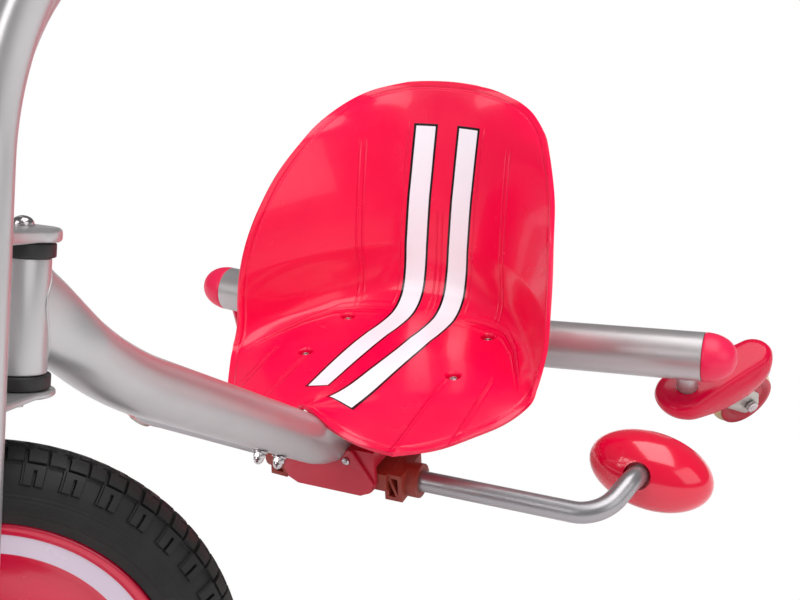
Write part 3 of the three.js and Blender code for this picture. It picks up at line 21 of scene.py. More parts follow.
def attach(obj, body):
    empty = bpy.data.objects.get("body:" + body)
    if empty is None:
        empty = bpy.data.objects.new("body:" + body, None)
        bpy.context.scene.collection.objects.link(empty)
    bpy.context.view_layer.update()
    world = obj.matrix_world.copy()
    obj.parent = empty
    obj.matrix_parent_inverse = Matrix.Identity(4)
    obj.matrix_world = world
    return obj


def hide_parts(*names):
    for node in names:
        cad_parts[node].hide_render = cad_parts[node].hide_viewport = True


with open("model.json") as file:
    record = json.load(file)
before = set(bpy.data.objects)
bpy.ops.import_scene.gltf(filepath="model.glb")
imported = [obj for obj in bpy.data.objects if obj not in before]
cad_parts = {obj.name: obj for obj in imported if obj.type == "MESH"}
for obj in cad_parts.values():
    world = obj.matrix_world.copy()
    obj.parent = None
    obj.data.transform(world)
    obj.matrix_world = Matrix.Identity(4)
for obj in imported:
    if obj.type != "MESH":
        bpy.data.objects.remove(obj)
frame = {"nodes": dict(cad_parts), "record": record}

LOG = logging.getLogger("drift_trike")

Point = Sequence[float]
Pair = tuple[float, float]
Place = tuple[float, float, float]
Colour = tuple[float, float, float, float]
Socket = bpy.types.NodeSocket
Value = Socket | float

MM = 0.001
SHIFT = Vector((-374.251, 0.0, -0.4095))
ROW = Matrix.Scale(MM, 4) @ Matrix.Translation(SHIFT)
X_AXIS = Vector((1.0, 0.0, 0.0))
Y_AXIS = Vector((0.0, 1.0, 0.0))
Z_AXIS = Vector((0.0, 0.0, 1.0))

CROSS_HEIGHT = 108.0
STEER_FOOT = Vector((605.0, 0.0, 319.0))
RAKE = math.radians(18.6)
STEER_ANGLE = math.radians(-46.0)
HEAD_START = 20.8
HEAD_TOP = 85.8
BAR_OFFSET = 16.5
BAR_SPREAD = 52.0
TYRE_RADIUS = 158.5
TYRE_SECTION = 25.5
KINGPIN_LEAN = math.radians(26.0)

STEER_UP = Vector((-math.sin(RAKE), 0.0, math.cos(RAKE)))
HUB_HEIGHT = (TYRE_RADIUS - TYRE_SECTION) * math.cos(
    math.asin(math.sin(abs(STEER_ANGLE)) * math.sin(RAKE))
) + TYRE_SECTION
AXLE_BELOW = (STEER_FOOT.z + BAR_OFFSET * math.cos(STEER_ANGLE) * math.sin(RAKE) - HUB_HEIGHT) / math.cos(RAKE)
STRAIGHT = ROW @ Matrix.Translation(STEER_FOOT) @ Matrix.Rotation(-RAKE, 4, "Y")
STEER = STRAIGHT @ Matrix.Rotation(STEER_ANGLE, 4, "Z")
HUB = STEER @ Matrix.Translation((BAR_OFFSET, 0.0, -AXLE_BELOW))
WHEEL = HUB @ Matrix.Rotation(math.radians(-90), 4, "X")


class Side(Enum):
    """The two sides of the trike, each with its sign along Y."""

    LEFT = 1
    RIGHT = -1

    @property
    def label(self) -> str:
        """The word that ends this side's node names."""
        return self.name.lower()


def linear(*display: float) -> Colour:
    """Turns a display colour into a linear one.

    Args:
        *display: Red, green and blue, from 0 to 255.

    Returns:
        The linear colour with an alpha of 1.
    """
    shares = [value / 255 for value in display]
    red, green, blue = (
        share / 12.92 if share <= 0.04045 else ((share + 0.055) / 1.055) ** 2.4 for share in shares
    )
    return red, green, blue, 1.0


# ---------------------------------------------------------------- materials


class Graph:
    """A small helper that adds and links the nodes of one material."""

    def __init__(self, name: str) -> None:
        """Starts a material with an empty node tree.

        Args:
            name: The material's name.
        """
        self.material = bpy.data.materials.new(name)
        self.material.use_nodes = True
        self.tree = self.material.node_tree
        self.tree.nodes.clear()

    def add(self, kind: str, inputs: dict[int | str, Any] | None = None, **settings: Any) -> bpy.types.Node:
        """Adds a node.

        Args:
            kind: The node's type.
            inputs: Socket name or index to a value or another socket.
            **settings: Properties of the node itself.

        Returns:
            The new node.
        """
        node = self.tree.nodes.new(kind)
        for key, value in settings.items():
            setattr(node, key, value)
        for key, value in (inputs or {}).items():
            if isinstance(value, bpy.types.NodeSocket):
                self.tree.links.new(value, node.inputs[key])
            else:
                node.inputs[key].default_value = value
        return node

    def math(self, operation: str, first: Value, second: Value = 0.0) -> Socket:
        """Adds a math node.

        Args:
            operation: The node's operation.
            first: First value or socket.
            second: Second value or socket.

        Returns:
            The result's socket.
        """
        return self.add("ShaderNodeMath", {0: first, 1: second}, operation=operation).outputs[0]

    def plus(self, first: Value, second: Value) -> Socket:
        """Adds the second value to the first."""
        return self.math("ADD", first, second)

    def minus(self, first: Value, second: Value) -> Socket:
        """Takes the second value from the first."""
        return self.math("SUBTRACT", first, second)

    def times(self, first: Value, second: Value) -> Socket:
        """Multiplies two values."""
        return self.math("MULTIPLY", first, second)

    def unsigned(self, value: Value) -> Socket:
        """Drops a value's sign."""
        return self.math("ABSOLUTE", value)

    def mix(self, factor: Value, first: Socket | Colour, second: Socket | Colour) -> Socket:
        """Mixes two colours.

        Args:
            factor: Share of the second colour.
            first: First colour or socket.
            second: Second colour or socket.

        Returns:
            The mixed colour's socket.
        """
        return self.add("ShaderNodeMix", {0: factor, 6: first, 7: second}, data_type="RGBA").outputs[2]

    def ramp(self, value: Value, low: float, high: float, to_low: float = 0.0, to_high: float = 1.0) -> Socket:
        """Maps a value's range on another, clamped.

        Args:
            value: The value or socket.
            low: Where the range starts.
            high: Where the range ends.
            to_low: Result at the start.
            to_high: Result at the end.

        Returns:
            The result's socket.
        """
        inputs = {0: value, 1: low, 2: high, 3: to_low, 4: to_high}
        return self.add("ShaderNodeMapRange", inputs).outputs[0]

    def noise(self, scale: float, detail: float = 3.0) -> Socket:
        """Adds noise on object coordinates.

        Args:
            scale: Waves per metre.
            detail: Octaves.

        Returns:
            The noise factor's socket.
        """
        where = self.add("ShaderNodeTexCoord").outputs["Object"]
        return self.add("ShaderNodeTexNoise", {"Vector": where, "Scale": scale, "Detail": detail}).outputs[0]

    def line(self, value: Value, centre: float, width: float) -> Socket:
        """Makes a soft ridge where a value passes a number.

        Args:
            value: The value's socket.
            centre: Where the ridge is.
            width: The ridge's half width.

        Returns:
            1 on the ridge, falling to 0.
        """
        inputs = {0: self.unsigned(self.minus(value, centre)), 1: 0.0, 2: width, 3: 1.0, 4: 0.0}
        return self.add("ShaderNodeMapRange", inputs, interpolation_type="SMOOTHSTEP").outputs[0]

    def window(self, value: Value, low: float, high: float, soft: float) -> Socket:
        """Gives 1 between two numbers, with soft ends.

        Args:
            value: The value's socket.
            low: Where it starts.
            high: Where it ends.
            soft: Length of each soft end.

        Returns:
            From 0 to 1.
        """
        return self.times(self.ramp(value, low, low + soft), self.ramp(value, high - soft, high, 1.0, 0.0))

    def attribute(self, name: str) -> Socket:
        """Reads a number stored on the mesh.

        Args:
            name: The attribute's name.

        Returns:
            The number's socket.
        """
        return self.add("ShaderNodeAttribute", attribute_name=name).outputs["Fac"]


@dataclass(frozen=True)
class Finish:
    """One surface finish and the record's slot it stands for.

    Attributes:
        name: Material name.
        slot: The record's material slot.
        colour: Display colour from 0 to 255.
        roughness: Middle roughness.
        metallic: How metallic it is.
        coat: Weight of a clear coat.
        coat_roughness: Roughness of that coat.
        mottle: How much the colour varies.
        smear: How much the roughness varies.
        grain: Bump height in metres.
        grain_scale: Grains per metre.
        specular: Strength of the plain reflection.
        pattern: Optional function that changes the colour and bump.
    """

    name: str
    slot: str
    colour: tuple[float, float, float]
    roughness: float
    metallic: float = 0.0
    coat: float = 0.0
    coat_roughness: float = 0.05
    mottle: float = 0.06
    smear: float = 0.06
    grain: float = 0.00004
    grain_scale: float = 700.0
    specular: float = 0.5
    pattern: Callable[..., tuple[Socket, Socket, Socket]] | None = None

    def build(self) -> bpy.types.Material:
        """Makes the material once and gives it again later.

        Returns:
            The material.
        """
        known = bpy.data.materials.get(self.name)
        if known:
            return known
        graph = Graph(self.name)
        base = linear(*self.colour)
        dark = tuple(share * (1 - self.mottle) for share in base[:3]) + (1.0,)
        light = tuple(min(1.0, share * (1 + self.mottle)) for share in base[:3]) + (1.0,)
        cloud = graph.ramp(graph.noise(14.0), 0.3, 0.7)
        colour = graph.mix(cloud, dark, light)
        fine = graph.noise(self.grain_scale, 2.0)
        low, high = self.roughness - self.smear, self.roughness + self.smear
        rough = graph.ramp(graph.noise(38.0, 4.0), 0.3, 0.7, low, high)
        height = graph.math("MULTIPLY", fine, self.grain)
        if self.pattern:
            colour, height, rough = self.pattern(graph, colour, height, rough)
        bump = graph.add("ShaderNodeBump", {"Height": height, "Strength": 1.0, "Distance": 1.0})
        shader = graph.add(
            "ShaderNodeBsdfPrincipled",
            {
                "Base Color": colour,
                "Roughness": rough,
                "Metallic": self.metallic,
                "Specular IOR Level": self.specular,
                "Coat Weight": self.coat,
                "Coat Roughness": self.coat_roughness,
                "Normal": bump.outputs[0],
            },
        )
        graph.add("ShaderNodeOutputMaterial", {0: shader.outputs[0]})
        return graph.material


@dataclass(frozen=True)
class Groove:
    """One fine line in the seat, in millimetres but for its height.

    Attributes:
        across: The distance that the line keeps: from the middle (reach), from the stripes' middle
            (side), from the shell's own seam (seam), from the bend (crease) or from the rim (edge).
        place: That distance.
        width: The line's half width.
        height: How far it stands up in metres, or how deep it is if negative.
        along: The distance that the line runs along, or nothing where it has no ends.
        start: Where it starts.
        end: Where it ends.
        soft: Length of its soft ends.
    """

    across: str
    place: float
    width: float
    height: float
    along: str = ""
    start: float = 0.0
    end: float = 0.0
    soft: float = 0.0


GROOVES = (
    Groove("reach", 77.0, 1.6, -0.0007, "down", 52.0, 246.0, 12.0),
    Groove("reach", 82.0, 1.6, -0.0007, "down", 52.0, 246.0, 12.0),
    Groove("side", 41.0, 1.5, 0.0006, "down", 40.0, 240.0, 10.0),
    Groove("seam", 2.9, 1.5, -0.0007, "down", 128.0, 246.0, 8.0),
    Groove("reach", 73.0, 1.5, -0.0009, "down", 362.0, 520.0, 14.0),
    Groove("reach", 77.5, 1.8, 0.0006, "down", 362.0, 520.0, 14.0),
    Groove("reach", 113.0, 1.5, -0.0009, "down", 336.0, 520.0, 14.0),
    Groove("reach", 117.0, 1.8, 0.0006, "down", 336.0, 520.0, 14.0),
    Groove("crease", 0.0, 2.4, -0.0008, "reach", 34.0, 148.0, 24.0),
    Groove("crease", -9.0, 5.0, 0.0009, "reach", 34.0, 148.0, 24.0),
    Groove("crease", 9.0, 5.0, 0.0009, "reach", 34.0, 148.0, 24.0),
    Groove("edge", 6.5, 2.5, -0.0007),
)
SEAM_SHIFT = 1.2
STRIPE_MIDDLE = 23.6
STRIPE_HALF = 12.9
STRIPE_BORDER = 2.3
STRIPE_TOP = 42.5
STRIPE_TIP = 447.5
STRIPE_STAGGER = 17.5
STRIPE_BEND = (330.0, 465.0, 5.5)
STRIPE_RELIEF = 0.0001
STRIPE_ROUGHNESS = 0.34
EDGE_SOFT = 0.4
BAND_INNER, BAND_OUTER = 96.2, 108.0
SIDEWALL_INNER, SIDEWALL_OUTER = 121.0, 136.0


def seat_pattern(graph: Graph, colour: Socket, height: Socket, rough: Socket) -> tuple[Socket, Socket, Socket]:
    """Paints the two black-edged white stripes and presses the fine lines in the seat.

    Args:
        graph: The material's graph.
        colour: The seat's own colour.
        height: The grain's height.
        rough: The seat's roughness.

    Returns:
        Colour, height and roughness with the stripes and lines in them.
    """
    down, side, edge, crease = (graph.attribute(name) for name in ("down", "side", "edge", "crease"))
    face = graph.ramp(graph.attribute("face"), 0.8, 0.98)
    place = graph.add("ShaderNodeSeparateXYZ", {0: graph.add("ShaderNodeTexCoord").outputs["Object"]})
    y = graph.times(place.outputs[1], 1000.0)
    reach, offside = graph.unsigned(y), graph.unsigned(side)
    start, end, shift = STRIPE_BEND
    bent = graph.times(graph.ramp(down, start, end), graph.ramp(side, 0.0, 0.1, 0.0, shift))
    within = graph.minus(STRIPE_HALF, graph.unsigned(graph.minus(offside, graph.minus(STRIPE_MIDDLE, bent))))
    tip = graph.plus(STRIPE_TIP, graph.times(graph.math("SIGN", side), STRIPE_STAGGER))
    depth = graph.math("MINIMUM", within, graph.minus(down, STRIPE_TOP))
    depth = graph.math("MINIMUM", depth, graph.minus(tip, down))
    half = EDGE_SOFT / 2
    black = graph.times(graph.ramp(depth, -half, half), face)
    white = graph.times(graph.ramp(depth, STRIPE_BORDER, STRIPE_BORDER + EDGE_SOFT), face)
    colour = graph.mix(black, colour, linear(16, 6, 10))
    colour = graph.mix(white, colour, linear(240, 240, 247))
    rough = graph.add("ShaderNodeMix", {0: white, 2: rough, 3: STRIPE_ROUGHNESS}).outputs[0]
    seam = graph.unsigned(graph.minus(y, SEAM_SHIFT))
    places = {"down": down, "reach": reach, "side": offside, "seam": seam, "crease": crease, "edge": edge}
    relief = graph.times(black, STRIPE_RELIEF)
    for groove in GROOVES:
        line = graph.line(places[groove.across], groove.place, groove.width)
        if groove.along:
            run = graph.window(places[groove.along], groove.start, groove.end, groove.soft)
            line = graph.times(line, run)
        relief = graph.plus(relief, graph.times(line, groove.height))
    return colour, graph.plus(height, graph.times(relief, face)), rough


def rim_pattern(graph: Graph, colour: Socket, height: Socket, rough: Socket) -> tuple[Socket, Socket, Socket]:
    """Paints the white band inside the rim's red lip.

    Args:
        graph: The material's graph.
        colour: The rim's own colour.
        height: The grain's height.
        rough: The rim's roughness.

    Returns:
        Colour, height and roughness with the band in them.
    """
    band = graph.window(graph.attribute("radius"), BAND_INNER, BAND_OUTER, EDGE_SOFT)
    return graph.mix(band, colour, linear(206, 190, 206)), height, rough


def tyre_pattern(graph: Graph, colour: Socket, height: Socket, rough: Socket) -> tuple[Socket, Socket, Socket]:
    """Draws the fine rings moulded in the tyre's sidewalls.

    Args:
        graph: The material's graph.
        colour: The rubber's colour.
        height: The grain's height.
        rough: The rubber's roughness.

    Returns:
        Colour, height and roughness with the rings in them.
    """
    radius = graph.attribute("radius")
    wave = graph.math("SINE", graph.times(radius, 2.6))
    rings = graph.times(wave, graph.window(radius, SIDEWALL_INNER, SIDEWALL_OUTER, 2.0))
    return colour, graph.plus(height, graph.times(rings, 0.00016)), rough


SILVER = Finish(
    "satin_silver_paint", "silver", (190, 187, 188), roughness=0.36, metallic=0.72, coat=0.1,
    coat_roughness=0.2, mottle=0.03, smear=0.04, grain=0.0, grain_scale=1600,
)
ROD = Finish(
    "satin_lever_rod", "silver", (166, 163, 166), roughness=0.34, metallic=0.8, coat=0.1,
    coat_roughness=0.2, mottle=0.04, smear=0.04, grain=0.0, grain_scale=1600,
)
SEAT = Finish(
    "glossy_crimson_seat", "crimson", (238, 0, 66), roughness=0.24, coat=0.26, coat_roughness=0.06,
    mottle=0.03, smear=0.04, grain=0.0, grain_scale=60, specular=0.34, pattern=seat_pattern,
)
KNOB = Finish(
    "glossy_crimson_knob", "crimson", (216, 2, 50), roughness=0.18, coat=0.6, coat_roughness=0.05,
    mottle=0.03, smear=0.03, grain=0.0, grain_scale=70,
)
FENDER = Finish(
    "crimson_fender", "crimson", (204, 0, 54), roughness=0.2, coat=0.08, coat_roughness=0.08,
    mottle=0.05, smear=0.05, grain=0.0, grain_scale=90, specular=0.26,
)
CAP = Finish(
    "semi_gloss_crimson_cap", "crimson", (228, 2, 72), roughness=0.42, coat=0.1, coat_roughness=0.2,
    mottle=0.04, smear=0.05, grain=0.00001, grain_scale=500,
)
RIM = Finish(
    "crimson_rim", "crimson", (200, 6, 54), roughness=0.24, coat=0.5, coat_roughness=0.06,
    mottle=0.05, smear=0.05, grain=0.0, grain_scale=80, pattern=rim_pattern,
)
CASING = Finish(
    "crimson_casing", "casing", (178, 14, 44), roughness=0.38, coat=0.2, coat_roughness=0.15,
    mottle=0.08, smear=0.08, grain=0.00004, grain_scale=420,
)
KNUCKLE = Finish(
    "dull_red_knuckle", "knuckle", (134, 40, 26), roughness=0.5, coat=0.05, coat_roughness=0.2,
    mottle=0.14, smear=0.08, grain=0.00006, grain_scale=300,
)
BLACK = Finish(
    "black_nylon", "black", (28, 26, 27), roughness=0.46, coat_roughness=0.1,
    mottle=0.15, smear=0.08, grain=0.00006, grain_scale=900,
)
GRIP = Finish(
    "black_grip", "grip", (26, 26, 28), roughness=0.62, coat_roughness=0.1,
    mottle=0.15, smear=0.08, grain=0.00008, grain_scale=1100,
)
TYRE = Finish(
    "black_tyre", "tyre", (11, 9, 9), roughness=0.58, coat_roughness=0.1,
    mottle=0.2, smear=0.1, grain=0.00008, grain_scale=600, pattern=tyre_pattern,
)
STEEL = Finish(
    "bright_steel", "steel", (196, 190, 192), roughness=0.2, metallic=1.0, coat_roughness=0.1,
    mottle=0.06, smear=0.05, grain=0.00001, grain_scale=500,
)
ZINC = Finish(
    "zinc_plate", "zinc", (186, 182, 176), roughness=0.34, metallic=1.0, coat_roughness=0.1,
    mottle=0.1, smear=0.09, grain=0.00002, grain_scale=240,
)
URETHANE = Finish(
    "cast_urethane", "urethane", (216, 196, 148), roughness=0.34, coat=0.1, coat_roughness=0.1,
    mottle=0.05, smear=0.06, grain=0.00003, grain_scale=300,
)

SLOT_FINISHES = {
    finish.slot: finish
    for finish in (SILVER, KNOB, CASING, KNUCKLE, BLACK, GRIP, TYRE, STEEL, ZINC, URETHANE)
}


# ---------------------------------------------------------------- making


def activate(piece: bpy.types.Object) -> None:
    """Makes one object the only selected and active one.

    Args:
        piece: The object.
    """
    bpy.ops.object.select_all(action="DESELECT")
    piece.select_set(True)
    bpy.context.view_layer.objects.active = piece


def modify(piece: bpy.types.Object, kind: str, **settings: Any) -> None:
    """Adds a modifier and applies it.

    Args:
        piece: The object.
        kind: The modifier's type.
        **settings: The modifier's properties.
    """
    activate(piece)
    modifier = piece.modifiers.new(kind.lower(), kind)
    for key, value in settings.items():
        setattr(modifier, key, value)
    bpy.ops.object.modifier_apply(modifier=modifier.name)


def bevel(piece: bpy.types.Object, width: float, segments: int = 3, angle: float = 35.0) -> None:
    """Rounds the edges that are sharper than an angle.

    Args:
        piece: The object.
        width: Width of the rounding.
        segments: Faces across it.
        angle: Sharpest angle left alone, in degrees.
    """
    modify(
        piece, "BEVEL", width=width, segments=segments, limit_method="ANGLE",
        angle_limit=math.radians(angle), use_clamp_overlap=True,
    )


def smooth(piece: bpy.types.Object, angle: float = 38.0) -> None:
    """Shades smooth, except over sharper edges.

    Args:
        piece: The object.
        angle: The sharpest angle that is smoothed, in degrees.
    """
    activate(piece)
    bpy.ops.object.shade_smooth_by_angle(angle=math.radians(angle))


def settle(piece: bpy.types.Object, matrix: Matrix) -> None:
    """Carries an object into a frame and leaves it at the origin.

    Args:
        piece: The object.
        matrix: Where it goes.
    """
    activate(piece)
    piece.matrix_world = matrix @ piece.matrix_world
    bpy.ops.object.transform_apply(location=True, rotation=True, scale=True)


def join(pieces: Sequence[bpy.types.Object], name: str) -> bpy.types.Object:
    """Joins objects into one.

    Args:
        pieces: The objects, the first of which stays.
        name: The joined object's name.

    Returns:
        The joined object.
    """
    activate(pieces[0])
    for piece in pieces:
        piece.select_set(True)
    bpy.ops.object.join()
    pieces[0].name = name
    return pieces[0]


def cut(piece: bpy.types.Object, *cutters: bpy.types.Object, operation: str = "DIFFERENCE") -> None:
    """Combines an object with others, which then go.

    Args:
        piece: The object that stays.
        *cutters: The other objects.
        operation: The boolean operation.
    """
    for cutter in cutters:
        modify(piece, "BOOLEAN", object=cutter, operation=operation, solver="EXACT")
        bpy.data.objects.remove(cutter)


def meshed(
    name: str, points: Sequence[Point], faces: Sequence[Sequence[int]], edges: Sequence[tuple[int, int]] = ()
) -> bpy.types.Object:
    """Makes a mesh object from points and faces.

    Args:
        name: The object's name.
        points: Its points.
        faces: Its faces as point numbers.
        edges: Its loose edges.

    Returns:
        The object.
    """
    mesh = bpy.data.meshes.new(name)
    mesh.from_pydata([tuple(point) for point in points], list(edges), list(faces))
    mesh.update()
    piece = bpy.data.objects.new(name, mesh)
    bpy.context.scene.collection.objects.link(piece)
    return piece


def store(piece: bpy.types.Object, name: str, values: Sequence[float]) -> None:
    """Stores a number on each point of a mesh.

    Args:
        piece: The object.
        name: The attribute's name.
        values: The numbers, in the points' order.
    """
    piece.data.attributes.new(name, "FLOAT", "POINT").data.foreach_set("value", values)


@contextmanager
def editing(piece: bpy.types.Object) -> Iterator[None]:
    """Opens an object in edit mode with all of it selected, and closes it again.

    Args:
        piece: The object.

    Yields:
        Nothing.
    """
    activate(piece)
    bpy.ops.object.mode_set(mode="EDIT")
    bpy.ops.mesh.select_all(action="SELECT")
    yield
    bpy.ops.object.mode_set(mode="OBJECT")


def lathe(name: str, profile: Sequence[Pair], segments: int = 64, round_by: float = 0.0) -> bpy.types.Object:
    """Spins a profile of radius and height about Z.

    Args:
        name: The object's name.
        profile: Pairs of radius and height, from axis to axis or closed on itself.
        segments: Steps round the axis.
        round_by: How far its sharp edges are rounded.

    Returns:
        The object.
    """
    points = [(radius, 0.0, height) for radius, height in profile]
    edges = [(index, index + 1) for index in range(len(points) - 1)]
    piece = meshed(name, points, [], edges)
    with editing(piece):
        bpy.ops.mesh.spin(steps=segments, angle=2 * math.pi, center=(0, 0, 0), axis=(0, 0, 1))
        bpy.ops.mesh.select_all(action="SELECT")
        bpy.ops.mesh.remove_doubles(threshold=0.001)
        bpy.ops.mesh.normals_make_consistent(inside=False)
    if round_by:
        bevel(piece, round_by, 3, 30)
    return piece


def turned(direction: Vector) -> Matrix:
    """The turn that lays the Z axis along a direction.

    Args:
        direction: The direction, one long.

    Returns:
        The matrix.
    """
    return Z_AXIS.rotation_difference(direction).to_matrix().to_4x4()


def drum(radius: float, low: Point, high: Point, sides: int = 48) -> bpy.types.Object:
    """Makes a round bar between two points.

    Args:
        radius: Its radius.
        low: One end.
        high: The other end.
        sides: Faces round it.

    Returns:
        The object.
    """
    run = Vector(high) - Vector(low)
    middle = (Vector(high) + Vector(low)) / 2
    bpy.ops.mesh.primitive_cylinder_add(vertices=sides, radius=radius, depth=run.length)
    piece = bpy.context.active_object
    settle(piece, Matrix.Translation(middle) @ turned(run.normalized()))
    return piece


def hexagon(radius: float, low: float, high: float, rounding: float, segments: int = 3) -> bpy.types.Object:
    """Makes the six-sided body of a nut about Z.

    Args:
        radius: Radius of its corners.
        low: Height of one face.
        high: Height of the other.
        rounding: How far its edges are rounded.
        segments: Faces across the rounding.

    Returns:
        The object.
    """
    piece = drum(radius, (0, 0, low), (0, 0, high), 6)
    bevel(piece, rounding, segments, 30)
    return piece


def dome(radius: float, foot: float, height: float, steps: int, power: float = 1.0) -> list[Pair]:
    """The profile of a dome above its foot, up to the axis.

    Args:
        radius: Its radius at the foot.
        foot: Height of the foot.
        height: How far it stands above that.
        steps: Steps in the profile.
        power: Below 1 for a blunter dome.

    Returns:
        Pairs of radius and height.
    """
    angles = [math.pi / 2 * index / steps for index in range(1, steps)]
    rim = [(radius * math.cos(angle) ** power, foot + height * math.sin(angle)) for angle in angles]
    return rim + [(0.0, foot + height)]


def mirrored(half: Sequence[Pair]) -> list[Pair]:
    """A profile with its mirror image below it, closed on itself.

    Args:
        half: The upper half.

    Returns:
        The whole profile.
    """
    return [*half, *((radius, -height) for radius, height in half[::-1]), half[0]]


def sweep(name: str, knots: Sequence[Point], radius: float, sides: int = 12, closed: bool = False) -> bpy.types.Object:
    """Lays a round section along points.

    Args:
        name: The object's name.
        knots: The points.
        radius: The section's radius.
        sides: Resolution of the section's quarter.
        closed: Whether the run closes on itself.

    Returns:
        The object, as a mesh.
    """
    curve = bpy.data.curves.new(name, "CURVE")
    curve.dimensions = "3D"
    curve.bevel_depth = radius
    curve.bevel_resolution = sides
    curve.use_fill_caps = not closed
    spline = curve.splines.new("POLY")
    spline.points.add(len(knots) - 1)
    spline.use_cyclic_u = closed
    for point, knot in zip(spline.points, knots):
        point.co = (*knot, 1.0)
    piece = bpy.data.objects.new(name, curve)
    bpy.context.scene.collection.objects.link(piece)
    activate(piece)
    bpy.ops.object.convert(target="MESH")
    return bpy.context.active_object


def plate(
    name: str, outline: Sequence[Pair], low: float, high: float, rounding: float, holes: Sequence[Place]
) -> bpy.types.Object:
    """Gives a flat outline thickness, with rounded edges.

    Args:
        name: The object's name.
        outline: Points in the XY plane.
        low: Lower face's height.
        high: Upper face's height.
        rounding: How far the edges are rounded.
        holes: Round holes as x, y and radius.

    Returns:
        The object.
    """
    count = len(outline)
    points = [(x, y, low) for x, y in outline] + [(x, y, high) for x, y in outline]
    faces = [list(range(count))[::-1], list(range(count, 2 * count))]
    faces += [[i, (i + 1) % count, (i + 1) % count + count, i + count] for i in range(count)]
    piece = meshed(name, points, faces)
    bevel(piece, rounding, 4, 50)
    cut(piece, *(drum(radius, (x, y, low - 5), (x, y, high + 5)) for x, y, radius in holes))
    return piece


def fillet(corners: Sequence[Point], radii: Sequence[float], steps: int = 14) -> list[Vector]:
    """Rounds the corners of a run of straight lines.

    Args:
        corners: The corners.
        radii: A radius for each inner corner.
        steps: Steps round each corner.

    Returns:
        The points of the run.
    """
    points = [Vector(corners[0])]
    for before, corner, after, radius in zip(corners, corners[1:], corners[2:], radii):
        back = (Vector(before) - Vector(corner)).normalized()
        ahead = (Vector(after) - Vector(corner)).normalized()
        half = back.angle(ahead) / 2
        middle = (back + ahead).normalized()
        centre = Vector(corner) + middle * (radius / math.sin(half))
        spoke = Vector(corner) + back * (radius / math.tan(half)) - centre
        axis = spoke.cross(middle).normalized()
        for step in range(steps + 1):
            turn = Quaternion(axis, -(math.pi - 2 * half) * step / steps)
            points.append(turn @ spoke + centre)
    return points + [Vector(corners[-1])]


def table(pairs: Sequence[Pair], at: float) -> float:
    """Reads a table of pairs, with straight lines between them.

    Args:
        pairs: Places and values, rising.
        at: The place.

    Returns:
        The value there.
    """
    if at <= pairs[0][0]:
        return pairs[0][1]
    for (low, first), (high, second) in zip(pairs, pairs[1:]):
        if at <= high:
            share = (at - low) / (high - low)
            return first + (second - first) * share
    return pairs[-1][1]


def ease(value: float, low: float, high: float) -> float:
    """Rises smoothly from 0 to 1.

    Args:
        value: The value.
        low: Where the rise starts.
        high: Where it ends.

    Returns:
        From 0 to 1.
    """
    share = min(max((value - low) / (high - low), 0.0), 1.0)
    return share * share * (3 - 2 * share)


def about(centre: Point, axis: Vector, angle: float) -> Matrix:
    """A turn about a line.

    Args:
        centre: A point on the line.
        axis: The line's direction.
        angle: The turn in radians.

    Returns:
        The matrix.
    """
    place = Matrix.Translation(centre)
    return place @ Matrix.Rotation(angle, 4, axis) @ place.inverted()


def add(
    piece: bpy.types.Object, matrix: Matrix, finish: Finish, body: str, *nodes: str, angle: float = 38.0
) -> None:
    """Places a finished piece: its frame, shading, material, body and the nodes it stands for.

    Args:
        piece: The object.
        matrix: The frame it was made in.
        finish: Its finish.
        body: The CAD body it moves with.
        *nodes: The CAD nodes that it replaces.
        angle: The sharpest angle that is shaded smooth, in degrees.
    """
    settle(piece, matrix)
    smooth(piece, angle)
    piece.data.materials.clear()
    piece.data.materials.append(finish.build())
    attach(piece, body)
    if nodes:
        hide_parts(*nodes)
    LOG.info("%s is on %s", piece.name, body)


def soften(node: str, finish: Finish, body: str, width: float) -> None:
    """Stands a copy with rounded edges in for a CAD node.

    Args:
        node: The node's name.
        finish: Its finish.
        body: The body it moves with.
        width: How far its edges are rounded, in millimetres.
    """
    piece = bpy.data.objects.new(node + "_shaped", frame["nodes"][node].data.copy())
    bpy.context.scene.collection.objects.link(piece)
    with editing(piece):
        bpy.ops.mesh.remove_doubles(threshold=0.00001)
        bpy.ops.mesh.dissolve_limited(angle_limit=math.radians(2))
    bevel(piece, width * MM, 3, 40)
    add(piece, Matrix.Identity(4), finish, body, node)


# ---------------------------------------------------------------- sub-assemblies


